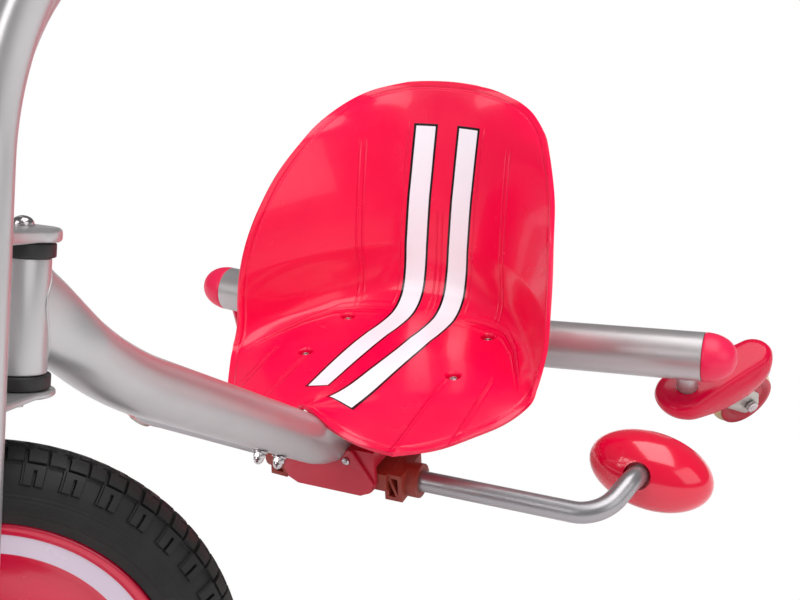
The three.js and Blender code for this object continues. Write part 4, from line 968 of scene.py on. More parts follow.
@dataclass
class WeldedFrame:
    """Head tube, main tube, cross tube, end caps and the nuts below the main tube.

    Attributes:
        head_radius: Radius of the head tube.
        main_radius: Radius of the main tube.
        main_join: Height on the steering axis where the main tube's line starts.
        front_corner: Corner of the main tube's upper bend.
        knee_corner: Corner of its lower bend.
        main_bends: Radii of the two bends.
        cross_radius: Radius of the cross tube.
        cross_half: Half the cross tube's length.
        cross_flat: Half its straight middle.
        cross_rise: How far its ends stand above the middle.
        cross_back: How far they stand behind it.
        cross_bend: Radius of its bends.
        kingpin_inset: How far each kingpin stands inside the tube's end.
        kingpin_reach: How far its foot lies below the tube's middle line.
        pinch: How much narrower the main tube is at the head tube.
        stretch: How much taller it is there.
        fit: Room round a tube that another is welded on.
        overrun: How far a cutter runs past what it cuts.
    """

    head_radius: float = 16.0
    main_radius: float = 21.0
    main_join: float = 63.0
    front_corner: Place = (527.0, 0.0, 303.0)
    knee_corner: Place = (265.0, 0.0, CROSS_HEIGHT)
    main_bends: Pair = (320.0, 120.0)
    cross_radius: float = 25.0
    cross_half: float = 280.0
    cross_flat: float = 92.0
    cross_rise: float = 9.5
    cross_back: float = 7.0
    cross_bend: float = 400.0
    kingpin_inset: float = 18.0
    kingpin_reach: float = 51.0
    pinch: float = 0.25
    stretch: float = 0.16
    fit: float = 0.2
    overrun: float = 20.0

    # Radius and height
    head_profile = ((13.0, 0.0), (16.0, 0.0), (16.0, 65.0), (13.0, 65.0), (13.0, 0.0))
    cap_foot = ((0.0, -3.0), (19.0, -3.0), (19.0, 0.0), (23.2, 0.1), (24.4, 0.5), (25.0, 1.6))
    kingpin_profile = (
        (0.0, -17.0), (7.6, -17.0), (9.0, -15.6), (9.0, -1.6), (11.0, -1.3), (11.0, 23.0),
        (9.6, 24.0), (9.0, 24.0), (9.0, 70.0), (0.0, 70.0),
    )
    # Distance of each nut from the lower bend's corner
    tube_nuts = (("rear", 86.0), ("front", 119.0))

    def cross_end(self, side: int) -> Vector:
        """Where the cross tube ends.

        Args:
            side: 1 for left, -1 for right.

        Returns:
            The point.
        """
        return Vector((-self.cross_back, side * self.cross_half, CROSS_HEIGHT + self.cross_rise))

    def cross_direction(self, side: int) -> Vector:
        """Which way the cross tube's end points.

        Args:
            side: 1 for left, -1 for right.

        Returns:
            The direction.
        """
        return (self.cross_end(side) - Vector((0.0, side * self.cross_flat, CROSS_HEIGHT))).normalized()

    def kingpin_foot(self, side: int) -> Vector:
        """Where the caster's plate meets the kingpin.

        Args:
            side: 1 for left, -1 for right.

        Returns:
            The point.
        """
        up = Vector((math.sin(KINGPIN_LEAN), 0.0, math.cos(KINGPIN_LEAN)))
        return self.cross_end(side) - self.cross_direction(side) * self.kingpin_inset - up * self.kingpin_reach

    def main_route(self) -> list[Vector]:
        """The main tube's middle line.

        Returns:
            Its points.
        """
        start = STEER_FOOT + STEER_UP * self.main_join
        corners = [start, self.front_corner, self.knee_corner, (0.0, 0.0, CROSS_HEIGHT)]
        return fillet(corners, self.main_bends, 24)

    def build_tubes(self) -> None:
        """Makes the three welded tubes and their beads."""
        head = lathe("head_tube_shaped", self.head_profile, 72, 0.8)
        place = ROW @ Matrix.Translation(STEER_FOOT + STEER_UP * HEAD_START)
        add(head, place @ Matrix.Rotation(-RAKE, 4, "Y"), SILVER, "frame", "head_tube")
        route = self.main_route()
        fine = [route[0].lerp(route[1], i / 12) for i in range(12)] + route[1:]
        main = sweep("main_tube_shaped", fine, self.main_radius, 15)
        self.crimp(main, route)
        low = STEER_FOOT + STEER_UP * (HEAD_START - self.overrun)
        high = STEER_FOOT + STEER_UP * (HEAD_TOP + self.overrun)
        beyond = drum(60.0, low + X_AXIS * 60, high + X_AXIS * 60)
        cross = drum(self.cross_radius + 0.3, (0, -60, CROSS_HEIGHT), (0, 60, CROSS_HEIGHT), 72)
        cut(main, drum(self.head_radius + self.fit, low, high, 72), beyond, cross)
        add(main, ROW, SILVER, "frame", "main_tube")
        add(self.head_bead((route[0] - route[1]).normalized()), ROW, SILVER, "frame", angle=60)
        add(self.foot_bead(), ROW, SILVER, "frame", angle=60)
        flats = [(0, side * self.cross_flat, CROSS_HEIGHT) for side in (1, -1)]
        corners = [self.cross_end(1), *flats, self.cross_end(-1)]
        tube = sweep("cross_tube_shaped", fillet(corners, [self.cross_bend] * 2, 10), self.cross_radius, 16)
        bevel(tube, 1.2, 3, 50)
        add(tube, ROW, SILVER, "frame", "cross_tube")

    def crimp(self, piece: bpy.types.Object, route: Sequence[Vector]) -> None:
        """Presses the main tube's end narrow and tall, to the head tube's width.

        Args:
            piece: The main tube.
            route: Its middle line.
        """
        for vertex in piece.data.vertices:
            place = vertex.co
            near = min(range(len(route)), key=lambda i: (route[i] - place).length)
            low, high = max(near - 1, 0), min(near + 1, len(route) - 1)
            along = (route[low] - route[high]).normalized()
            middle = route[near] + along * (place - route[near]).dot(along)
            share = 1 - ease((route[0] - middle).length, 18.0, 62.0)
            up = Vector((-along.z, 0.0, along.x))
            tall = up * (place - middle).dot(up)
            vertex.co = middle + Y_AXIS * place.y * (1 - self.pinch * share) + tall * (1 + self.stretch * share)

    def head_bead(self, along: Vector) -> bpy.types.Object:
        """Lays the bead where the pressed tube meets the head tube.

        Args:
            along: The main tube's direction at its end.

        Returns:
            The bead.
        """
        start = STEER_FOOT + STEER_UP * self.main_join
        up = Vector((-along.z, 0.0, along.x))
        across = Vector((-STEER_UP.z, 0.0, STEER_UP.x))
        half_width = self.main_radius * (1 - self.pinch - 0.005)
        half_height = self.main_radius * (1 + self.stretch)
        knots = []
        for index in range(96):
            angle = 2 * math.pi * index / 96
            y = half_width * math.cos(angle)
            rise = up * (half_height * math.sin(angle))
            post = math.sqrt(max(self.head_radius**2 - y * y, 0.0)) + 0.12 * math.sin(index * 1.9)
            point = start + rise + along * ((post - rise.dot(across)) / along.dot(across))
            knots.append(Vector((point.x, y, point.z)))
        return sweep("head_weld", knots, 0.9, 4, closed=True)

    def foot_bead(self) -> bpy.types.Object:
        """Lays the rippled bead where the main tube meets the cross tube.

        Returns:
            The bead.
        """
        knots = []
        for index in range(72):
            angle = math.radians(5 * index - 45)
            y, z = -self.main_radius * math.cos(angle), self.main_radius * math.sin(angle)
            ripple = 0.25 * math.sin(index * 2.1)
            knots.append(Vector((math.sqrt(self.cross_radius**2 - z * z) - ripple, y, CROSS_HEIGHT + z)))
        return sweep("foot_weld", knots, 1.7, 4, closed=True)

    def build_caps(self) -> None:
        """Makes the domed caps in the cross tube's ends."""
        profile = [*self.cap_foot, *dome(self.cross_radius, 1.6, 31.4, 24, 0.9)]
        for side in Side:
            cap = lathe(f"end_cap_{side.label}_shaped", profile, 64)
            place = ROW @ Matrix.Translation(self.cross_end(side.value))
            add(cap, place @ turned(self.cross_direction(side.value)), CAP, "frame", f"end_cap_{side.label}")

    def build_nuts(self) -> None:
        """Makes the two dome nuts below the main tube."""
        corner = Vector(self.knee_corner)
        run = (Vector(self.front_corner) - corner).normalized()
        down = Vector((run.z, 0.0, -run.x))
        for name, distance in self.tube_nuts:
            place = ROW @ Matrix.Translation(corner + run * distance) @ turned(down)
            add(dome_nut(f"tube_nut_{name}_shaped"), place, STEEL, "frame", f"tube_nut_{name}")

    def build_kingpins(self) -> None:
        """Makes the collared pins that the casters hang on."""
        for side in Side:
            pin = lathe(f"kingpin_{side.label}_shaped", self.kingpin_profile, 48, 0.5)
            place = ROW @ Matrix.Translation(self.kingpin_foot(side.value)) @ Matrix.Rotation(KINGPIN_LEAN, 4, "Y")
            add(pin, place, SILVER, "frame", f"kingpin_{side.label}")

    def build(self) -> None:
        """Makes the whole frame."""
        self.build_tubes()
        self.build_caps()
        self.build_nuts()
        self.build_kingpins()


def dome_nut(name: str) -> bpy.types.Object:
    """Makes a dome nut on its washer, with the tube's middle at the origin and Z outwards.

    Args:
        name: The object's name.

    Returns:
        The object.
    """
    washer = lathe(name, [(0.0, 21.3), (6.5, 21.3), (6.5, 22.5), (0.0, 22.5)], 40, 0.3)
    body = hexagon(5.4, 21.9, 27.0, 0.7)
    crown = lathe("dome", [(0.0, 22.6), (4.2, 22.6), (4.2, 26.0), *dome(4.2, 27.0, 5.2, 12)], 40)
    return join([washer, body, crown], name)


@dataclass
class Seat:
    """The bucket seat, its bolts and the plate below it.

    Attributes:
        plate_top: Height of the plate that the seat stands on.
        rear: Where the seat starts along X.
        length: Its length.
        height: Its height.
        half: Half its width.
        base: Height that its stations count from.
        wall: Its thickness.
        rows: Rows of its skin.
        columns: Columns of its skin.
        pan_row: Station where the pan starts to lie flatter.
        lip_row: Station where its sides start to rise as a soft lip.
        boss_radius: Radius of the post below each bolt.
        bore_radius: Radius of the hole above each bolt.
        bore_floor: Height of that hole's floor.
        bolt_foot: Height where the bolt's head starts.
    """

    plate_top: float = 133.3
    rear: float = -17.0
    length: float = 320.0
    height: float = 250.0
    half: float = 162.0
    base: float = plate_top - 8.0
    wall: float = 4.0
    rows: int = 236
    columns: int = 160
    pan_row: int = 8
    lip_row: int = 13
    boss_radius: float = 12.5
    bore_radius: float = 7.0
    bore_floor: float = plate_top + 3.9
    bolt_foot: float = plate_top + 4.2

    # Middle line's place and height, then the rim's place, half width and height, as shares
    stations = (
        (0.003, 1.0, 0.006, 0.235, 0.992),
        (0.006, 0.976, 0.02, 0.456, 0.958),
        (0.011, 0.936, 0.05, 0.613, 0.914),
        (0.017, 0.88, 0.12, 0.735, 0.854),
        (0.025, 0.812, 0.195, 0.804, 0.792),
        (0.038, 0.712, 0.3, 0.896, 0.672),
        (0.053, 0.592, 0.385, 0.945, 0.552),
        (0.069, 0.472, 0.447, 0.98, 0.432),
        (0.084, 0.34, 0.49, 0.997, 0.312),
        (0.1, 0.224, 0.512, 1.0, 0.212),
        (0.131, 0.132, 0.528, 0.99, 0.152),
        (0.194, 0.082, 0.547, 0.982, 0.108),
        (0.303, 0.068, 0.572, 0.978, 0.076),
        (0.459, 0.077, 0.609, 0.969, 0.036),
        (0.616, 0.088, 0.681, 0.901, 0.007),
        (0.772, 0.1, 0.772, 0.796, 0.003),
        (0.897, 0.13, 0.884, 0.654, 0.009),
        (1.0, 0.173, 0.972, 0.481, 0.029),
    )
    # Where the pattern's middle lies, by distance down the seat
    drift = (
        (0.0, 7.0), (44.0, 6.5), (117.0, 1.5), (172.0, -0.5), (220.0, -1.5), (250.0, -2.5),
        (300.0, -7.0), (520.0, -6.0),
    )
    # Where the bend's raised band lies: distance down the seat, by distance from the middle
    band = ((0.0, 246.0), (64.0, 247.0), (95.0, 250.0), (115.0, 268.0), (130.0, 296.0), (145.0, 330.0), (165.0, 372.0))
    # Bolt names and their places
    bolts = (
        ("rear_left", 72.0, 79.0), ("rear_right", 72.0, -79.0),
        ("front_left", 163.0, 79.0), ("front_right", 163.0, -79.0),
    )
    # The hole's mouth: radius, and height from the seat's face
    bore_mouth = ((7.0, -2.4), (7.2, -1.2), (7.6, -0.5), (8.3, 0.0), (8.7, 0.6))
    # The socket bolt: radius, and height from the foot of its head
    bolt_profile = (
        (0.0, -16.4), (3.0, -16.4), (3.0, 0.0), (4.6, 0.0), (4.6, 1.8), (3.8, 2.8),
        (2.2, 3.0), (2.0, 1.2), (0.0, 1.2),
    )

    def point(self, row: float, across: float) -> Vector:
        """A point on the seat's upper face.

        Args:
            row: Station number, with its share.
            across: From -1 at the right rim to 1 at the left.

        Returns:
            The point.
        """
        last = len(self.stations) - 1
        index = min(int(row), last - 1)
        share = row - index
        picks = [self.stations[min(max(index + near, 0), last)] for near in (-1, 0, 1, 2)]
        values = []
        for p0, p1, p2, p3 in zip(*picks):
            curve = 2 * p1 + (p2 - p0) * share + (2 * p0 - 5 * p1 + 4 * p2 - p3) * share**2
            values.append(0.5 * (curve + (3 * p1 - p0 - 3 * p2 + p3) * share**3))
        mid_x, mid_z, rim_x, rim_y, rim_z = values
        reach = abs(across)
        pan = min(max((row - self.pan_row) / 3, 0.0), 1.0)
        bowl = reach ** (2.3 + 1.3 * pan)
        soft = 0.1
        rise = (math.sqrt(reach * reach + soft**2) - soft) / (math.sqrt(1 + soft**2) - soft)
        lip = 1 - (1 - rise) ** 3.5
        weight = min(max((row - self.lip_row) / (last - self.lip_row), 0.0), 1.0)
        blend = bowl + (lip - bowl) * weight
        return Vector((
            self.rear + self.length * (mid_x + (rim_x - mid_x) * blend),
            self.half * rim_y * across,
            self.base + self.height * (mid_z + (rim_z - mid_z) * blend),
        ))

    def height_above(self, x: float, y: float) -> float:
        """The upper face's height above a place on the pan.

        Args:
            x: The place along the trike.
            y: The place across it.

        Returns:
            The height.
        """
        first, pitch = 10, 0.02
        last = len(self.stations) - 1
        spots = [self.point(first + pitch * i, 0.0) for i in range(round((last - first) / pitch))]
        row = first + pitch * min(range(len(spots)), key=lambda i: abs(spots[i].x - x))
        across = y / self.point(row, 1.0).y
        for _ in range(6):
            slope = self.point(row + 0.05, across).x - self.point(row - 0.05, across).x
            row -= (self.point(row, across).x - x) / slope * 0.1
            across = y / self.point(row, 1.0).y
        return self.point(row, across).z

    def skin(self) -> tuple[bpy.types.Object, list[Vector], dict[str, list[float]]]:
        """Makes the shell's upper face and notes where each point lies on it.

        Returns:
            The object, its points and their marks.
        """
        last = len(self.stations) - 1
        line = [self.point(last * i / self.rows, 0.0) for i in range(self.rows + 1)]
        downs = [0.0]
        for before, after in zip(line, line[1:]):
            downs.append(downs[-1] + (after - before).length)
        width = self.columns + 1
        points = []
        marks: dict[str, list[float]] = {"down": [], "side": [], "crease": []}
        for i, down in enumerate(downs):
            for j in range(width):
                point = self.point(last * i / self.rows, 2 * j / self.columns - 1)
                points.append(point)
                marks["down"].append(down)
                marks["side"].append(point.y - table(self.drift, down))
                marks["crease"].append(down - table(self.band, abs(point.y)))
        rim = KDTree(2 * (self.rows + width))
        for index, point in enumerate(points):
            i, j = divmod(index, width)
            if i in (0, self.rows) or j in (0, self.columns):
                rim.insert(point, index)
        rim.balance()
        marks["edge"] = [rim.find(point)[2] for point in points]
        faces = [
            (i * width + j, (i + 1) * width + j, (i + 1) * width + j + 1, i * width + j + 1)
            for i in range(self.rows) for j in range(self.columns)
        ]
        return meshed("seat_shell_shaped", points, faces), points, marks

    def mark(self, piece: bpy.types.Object, points: Sequence[Vector], marks: dict[str, list[float]]) -> None:
        """Stores on each vertex the nearest upper point's marks, and if it lies on that face.

        Args:
            piece: The finished shell.
            points: The upper face's points.
            marks: Their marks.
        """
        tree = KDTree(len(points))
        for index, point in enumerate(points):
            tree.insert(point, index)
        tree.balance()
        found = [tree.find(vertex.co) for vertex in piece.data.vertices]
        for name, values in marks.items():
            store(piece, name, [values[index] for _, index, _ in found])
        store(piece, "face", [1.0 if distance < 0.3 else 0.0 for _, _, distance in found])

    def build(self) -> None:
        """Makes the seat, its bolts and its plate."""
        piece, points, marks = self.skin()
        modify(piece, "SOLIDIFY", thickness=self.wall, offset=-1.0)
        bevel(piece, 1.2, 3, 60)
        over = self.plate_top + 25.0
        for _, x, y in self.bolts:
            top = self.height_above(x, y)
            boss = drum(self.boss_radius, (x, y, self.plate_top + 0.3), (x, y, top - 2.0))
            profile = [(0.0, self.bore_floor), (self.bore_radius, self.bore_floor)]
            profile += [(radius, top + rise) for radius, rise in self.bore_mouth]
            bore = lathe("bore", [*profile, (profile[-1][0], over), (0.0, over)], 40)
            bore.location = (x, y, 0.0)
            cut(piece, boss, operation="UNION")
            cut(piece, bore, drum(3.3, (x, y, self.plate_top - 9), (x, y, self.plate_top + 9), 24))
        self.mark(piece, points, marks)
        add(piece, ROW, SEAT, "frame", "seat_shell", angle=50)
        self.build_bolts()
        soften("seat_plate", SILVER, "frame", 0.8)

    def build_bolts(self) -> None:
        """Makes the four socket bolts."""
        foot = self.bolt_foot
        for name, x, y in self.bolts:
            shank = lathe(f"seat_bolt_{name}_shaped", [(r, foot + z) for r, z in self.bolt_profile], 32, 0.25)
            nut = hexagon(6.2, foot - 12.4, foot - 7.4, 0.5, 2)
            bolt = join([shank, nut], f"seat_bolt_{name}_shaped")
            add(bolt, ROW @ Matrix.Translation((x, y, 0.0)), STEEL, "frame", f"seat_bolt_{name}")


@dataclass
class SparkLevers:
    """The lever housing and both hand-pressed levers.

    Attributes:
        rod_x: Where the rods' first runs lie along the trike.
        rod_z: Their height.
        rod_radius: A rod's radius.
        pin: Each hinge pin's distance from the middle, and its height.
        root: Where the rod starts, from the trike's middle.
        corner: Where it turns forward.
        tail: The rod's last run in the CAD, from its corner.
        bend: Radius of the CAD rod's corner.
        shown_bends: Radii of the shown rod's two corners.
        far_raise: How far the right lever stands up.
        far_twist: How far its rod is turned in the collar.
        far_turn: How far its knob is turned on the rod.
        knob_centre: Middle of the left knob.
        knob_half: Half its length.
        knob_radius: Its radius.
        knob_tilt: How far its outer end hangs down.
        pad_back: How far the pad lies behind the knob's middle.
        pad_radius: The pad's radius.
    """

    rod_x: float = 238.0
    rod_z: float = 71.3
    rod_radius: float = 9.5
    pin: Pair = (36.0, 79.0)
    root: float = 54.5
    corner: float = 243.0
    tail: Place = (-71.0, 26.0, 22.0)
    bend: float = 38.0
    shown_bends: Pair = (36.0, 28.0)
    far_raise: float = math.radians(3.5)
    far_twist: float = math.radians(20.0)
    far_turn: float = math.radians(25.0)
    knob_centre: Place = (155.0, 267.0, 75.0)
    knob_half: float = 57.0
    knob_radius: float = 35.0
    knob_tilt: float = math.radians(10.0)
    pad_back: float = 8.0
    pad_radius: float = 13.0

    # Radius and height
    screw_profile = ((0.0, -5.0), (2.0, -5.0), (2.0, 0.0), (3.6, 0.0), (3.5, 1.0), (2.6, 1.8), (0.0, 2.1))
    # The screw's cross slots
    slots = ((4.6, 0.8, 1.4), (0.8, 4.6, 1.4))
    screw_place = (273.3, 20.0, 100.0)

    def start(self, side: int) -> list[Place]:
        """The rod's first straight run.

        Args:
            side: 1 for left, -1 for right.

        Returns:
            Its two ends.
        """
        return [(self.rod_x, side * self.root, self.rod_z), (self.rod_x, side * self.corner, self.rod_z)]

    def route(self, side: int) -> list[Vector]:
        """The rod's middle line in the CAD, which its knob turns about.

        Args:
            side: 1 for left, -1 for right.

        Returns:
            Its points.
        """
        x, y, z = self.tail
        end = (self.rod_x + x, side * (self.corner + y), self.rod_z + z)
        return fillet([*self.start(side), end], [self.bend], 18)

    def mouth(self, side: int) -> tuple[Vector, Vector]:
        """Where the rod enters the knob.

        Args:
            side: 1 for left, -1 for right.

        Returns:
            The point on the knob's skin and the skin's outward direction there.
        """
        x, y, z = self.knob_centre
        return Vector((x + 32.9, side * (y - 5.7), z + 11.8)), Vector((0.94, -0.06 * side, 0.34)).normalized()

    def shown_route(self, side: int) -> list[Vector]:
        """The rod's middle line with the small bend that leads it into the knob.

        Args:
            side: 1 for left, -1 for right.

        Returns:
            Its points.
        """
        entry, out = self.mouth(side)
        return fillet([*self.start(side), entry + out * 8.0, entry - out * 14.0], self.shown_bends, 16)

    def frames(self, side: int) -> tuple[Matrix, Matrix]:
        """Frames of the rod and the knob, which stand otherwise on the right.

        Args:
            side: 1 for left, -1 for right.

        Returns:
            The two matrices.
        """
        share = 1.0 if side < 0 else 0.0
        route = self.route(side)
        tail = (route[-1] - route[-2]).normalized()
        knuckle = ROW @ about((0.0, side * self.pin[0], self.pin[1]), X_AXIS, side * share * self.far_raise)
        rod = knuckle @ about((self.rod_x, 0.0, self.rod_z), Y_AXIS, -share * self.far_twist)
        return rod, rod @ about(route[-1], tail, share * self.far_turn)

    def knob(self, name: str, side: int) -> bpy.types.Object:
        """Makes the egg-shaped knob with the mouth round its rod and the seat of its pad.

        Args:
            name: The object's name.
            side: 1 for left, -1 for right.

        Returns:
            The object.
        """
        x, y, z = self.knob_centre
        bpy.ops.mesh.primitive_uv_sphere_add(segments=96, ring_count=64, radius=self.knob_radius)
        egg = bpy.context.active_object
        egg.name = name
        stretch = self.knob_half / self.knob_radius
        turn = Matrix.Rotation(-side * self.knob_tilt, 4, "X") @ Matrix.Diagonal((1, stretch, 1, 1))
        settle(egg, Matrix.Translation((x, side * y, z)) @ turn)
        entry, out = self.mouth(side)
        x -= self.pad_back
        hollow = drum(12.5, entry - out * 9.0, entry + out * 14.0, 56)
        pad = drum(self.pad_radius + 0.4, (x, side * y, 30), (x, side * y, 50.8))
        cut(egg, hollow, pad)
        bevel(egg, 0.7, 3, 40)
        return egg

    def build_lever(self, side: Side) -> None:
        """Makes one lever.

        Args:
            side: Which one.
        """
        label, sign = side.label, side.value
        body = f"lever_{label}"
        rod_frame, knob_frame = self.frames(sign)
        rod = sweep(f"lever_rod_{label}_shaped", self.shown_route(sign), self.rod_radius, 10)
        add(rod, rod_frame, ROD, body, f"lever_rod_{label}")
        add(self.knob(f"lever_knob_{label}_shaped", sign), knob_frame, KNOB, body, f"lever_knob_{label}")
        radius = self.pad_radius
        pad = lathe(f"spark_pad_{label}_shaped", [(0.0, 37.5), (radius, 37.5), (radius, 50.3), (0.0, 50.3)], 48, 0.8)
        place = Matrix.Translation((self.knob_centre[0] - self.pad_back, sign * self.knob_centre[1], 0.0))
        add(pad, knob_frame @ place, ZINC, body, f"spark_pad_{label}")
        soften(f"lever_knuckle_{label}", KNUCKLE, body, 0.9)

    def build(self) -> None:
        """Makes the housing with its screws, and both levers."""
        soften("lever_housing", CASING, "frame", 1.4)
        soften("housing_cover", CASING, "frame", 0.8)
        x, y, z = self.screw_place
        for side in Side:
            self.build_lever(side)
            screw = lathe(f"housing_screw_{side.label}_shaped", self.screw_profile, 32)
            for size in self.slots:
                bpy.ops.mesh.primitive_cube_add(size=1.0, location=(0, 0, 2.0), scale=size)
                cut(screw, bpy.context.active_object)
            place = ROW @ Matrix.Translation((x, side.value * y, z)) @ Matrix.Rotation(math.radians(90), 4, "Y")
            add(screw, place, STEEL, "frame", f"housing_screw_{side.label}")


@dataclass
class Casters:
    """The two trailing casters with their fenders.

    Attributes:
        turn: How far each caster is swivelled outwards from straight.
        trail: How far the axle lies behind the kingpin.
        radius: The wheel's radius.
        reach: How far the fender's tail lies behind its nose.
        nose: Radius of its nose.
        tail: Radius of its tail.
        ahead: How far the nose's middle lies before the kingpin.
        top: Height of its upper face.
        wall: Its thickness.
        pin_room: Radius of the kingpin's hole.
        tread_round: Radius of the tread's section.
        tread_half: Half the tread's width.
        tread_seat: Radius where the tread sits on the core.
    """

    turn: float = math.radians(43.6)
    trail: float = 66.0
    radius: float = 36.0
    reach: float = 86.0
    nose: float = 29.0
    tail: float = 21.5
    ahead: float = 6.0
    top: float = 1.0
    wall: float = 2.4
    pin_room: float = 11.4
    tread_round: float = 11.0
    tread_half: float = 10.0
    tread_seat: float = 27.3

    # How deep the fender is, by distance behind the kingpin
    depths = (
        (-35.0, 14.0), (-20.0, 18.0), (-6.0, 22.5), (14.0, 31.0), (34.0, 36.5), (60.0, 38.0),
        (76.0, 34.0), (102.0, 17.0),
    )
    # Its layers: share of the depth, then shares of the nose's and the tail's radius
    layers = (
        (0.0, 0.5, 0.44), (0.0, 0.6, 0.55), (0.012, 0.72, 0.68), (0.06, 0.84, 0.82), (0.14, 0.91, 0.9),
        (0.25, 0.96, 0.955), (0.3, 0.965, 0.962), (0.31, 0.965, 0.985), (0.5, 1.0, 0.992), (0.52, 1.0, 1.0),
        (0.75, 0.975, 0.99), (1.0, 0.92, 0.96),
    )
    # Upper half of the wheel's core: radius and height
    core_half = (
        (4.3, 12.5), (8.0, 12.5), (11.0, 9.5), (13.0, 8.7), (22.0, 8.7), (25.0, 11.0), (27.5, 12.4),
        (31.0, 12.2), (32.0, 11.2), (32.0, 10.3), (27.0, 10.3),
    )

    def matrix(self, side: int) -> Matrix:
        """The caster's own frame.

        Args:
            side: 1 for left, -1 for right.

        Returns:
            The matrix.
        """
        foot = WeldedFrame().kingpin_foot(side)
        lean = Matrix.Rotation(KINGPIN_LEAN, 4, "Y")
        return ROW @ Matrix.Translation(foot) @ lean @ Matrix.Rotation(-side * self.turn, 4, "Z")

    def drop(self, side: int) -> float:
        """How far the axle lies below the kingpin's foot.

        Args:
            side: 1 for left, -1 for right.

        Returns:
            The distance.
        """
        lean = math.asin(math.sin(self.turn) * math.sin(KINGPIN_LEAN))
        rise = self.trail * math.sin(KINGPIN_LEAN) * math.cos(self.turn)
        axle = (self.radius - self.tread_round) * math.cos(lean) + self.tread_round
        return (WeldedFrame().kingpin_foot(side).z + rise - axle) / math.cos(KINGPIN_LEAN)

    def ring(self, nose: float, tail: float, count: int) -> list[Pair]:
        """The outline round the nose's and the tail's circle.

        Args:
            nose: The nose's radius.
            tail: The tail's radius.
            count: Points round each.

        Returns:
            The points.
        """
        slant = math.acos((nose - tail) / self.reach)
        wide = math.pi - slant
        arcs = []
        for radius, middle, start, run in (
            (nose, self.ahead, -wide, 2 * wide), (tail, self.ahead - self.reach, wide, 2 * slant),
        ):
            angles = [start + run * i / count for i in range(count + 1)]
            arcs.append([(radius * math.cos(angle) + middle, radius * math.sin(angle)) for angle in angles])
        points = []
        for arc, following in (arcs, arcs[::-1]):
            (x0, y0), (x1, y1) = arc[-1], following[0]
            points += arc + [(x0 + (x1 - x0) * i / 9, y0 + (y1 - y0) * i / 9) for i in range(1, 9)]
        return points

    def fender(self, name: str) -> bpy.types.Object:
        """Makes the deep cover, open at its foot, with two fine steps round its tail.

        Args:
            name: The object's name.

        Returns:
            The object.
        """
        points: list[Place] = []
        for depth, nose, tail in self.layers:
            for x, y in self.ring(self.nose * nose, self.tail * tail, 24):
                points.append((x, y, self.top - depth * (self.top + table(self.depths, -x))))
        count = len(points) // len(self.layers)
        faces: list[Sequence[int]] = [range(count)]
        for base in range(0, len(points) - count, count):
            for i in range(count):
                after = base + (i + 1) % count
                faces.append((base + count + i, count + after, after, base + i))
        piece = meshed(name, points, faces)
        with editing(piece):
            bpy.ops.mesh.normals_make_consistent(inside=False)
        modify(piece, "SOLIDIFY", thickness=self.wall, offset=-1.0)
        bevel(piece, 0.6, 2, 60)
        cut(piece, drum(self.pin_room, (0, 0, -10), (0, 0, 10)))
        return piece

    def build_wheel(self, side: Side) -> None:
        """Makes one caster wheel with its tread and axle.

        Args:
            side: Which side.
        """
        label = side.label
        place = self.matrix(side.value) @ Matrix.Translation((-self.trail, 0.0, -self.drop(side.value)))
        place = place @ Matrix.Rotation(math.radians(90), 4, "X")
        core = lathe(f"caster_core_{label}_shaped", mirrored(self.core_half), 64, 0.3)
        add(core, place, CASING, f"caster_wheel_{label}", f"caster_core_{label}")
        section, half = self.tread_round, self.tread_half
        spread = math.asin(half / section)
        angles = [-spread + 2 * spread * i / 12 for i in range(13)]
        middle = self.radius - section
        crown = [(middle + section * math.cos(angle), section * math.sin(angle)) for angle in angles]
        seat = self.tread_seat
        tread = lathe(f"caster_tread_{label}_shaped", [(seat, -half), *crown, (seat, half), (seat, -half)], 72)
        add(tread, place, URETHANE, f"caster_wheel_{label}", f"caster_tread_{label}")
        axle = [drum(4.0, (0, 0, -19.0), (0, 0, 19.0), 32)]
        for sign in (1, -1):
            axle.append(hexagon(7.0, sign * 18.0, sign * 23.6, 0.8))
            axle.append(drum(3.0, (0, 0, sign * 20.0), (0, 0, sign * 23.9), 24))
        name = f"caster_axle_{label}"
        add(join(axle, f"{name}_shaped"), place, STEEL, f"caster_{label}", name)

    def build(self) -> None:
        """Makes both casters."""
        for side in Side:
            label = side.label
            fender = self.fender(f"caster_fender_{label}_shaped")
            add(fender, self.matrix(side.value), FENDER, f"caster_{label}", f"caster_fender_{label}", angle=50)
            soften(f"caster_bracket_{label}", ZINC, f"caster_{label}", 0.6)
            self.build_wheel(side)


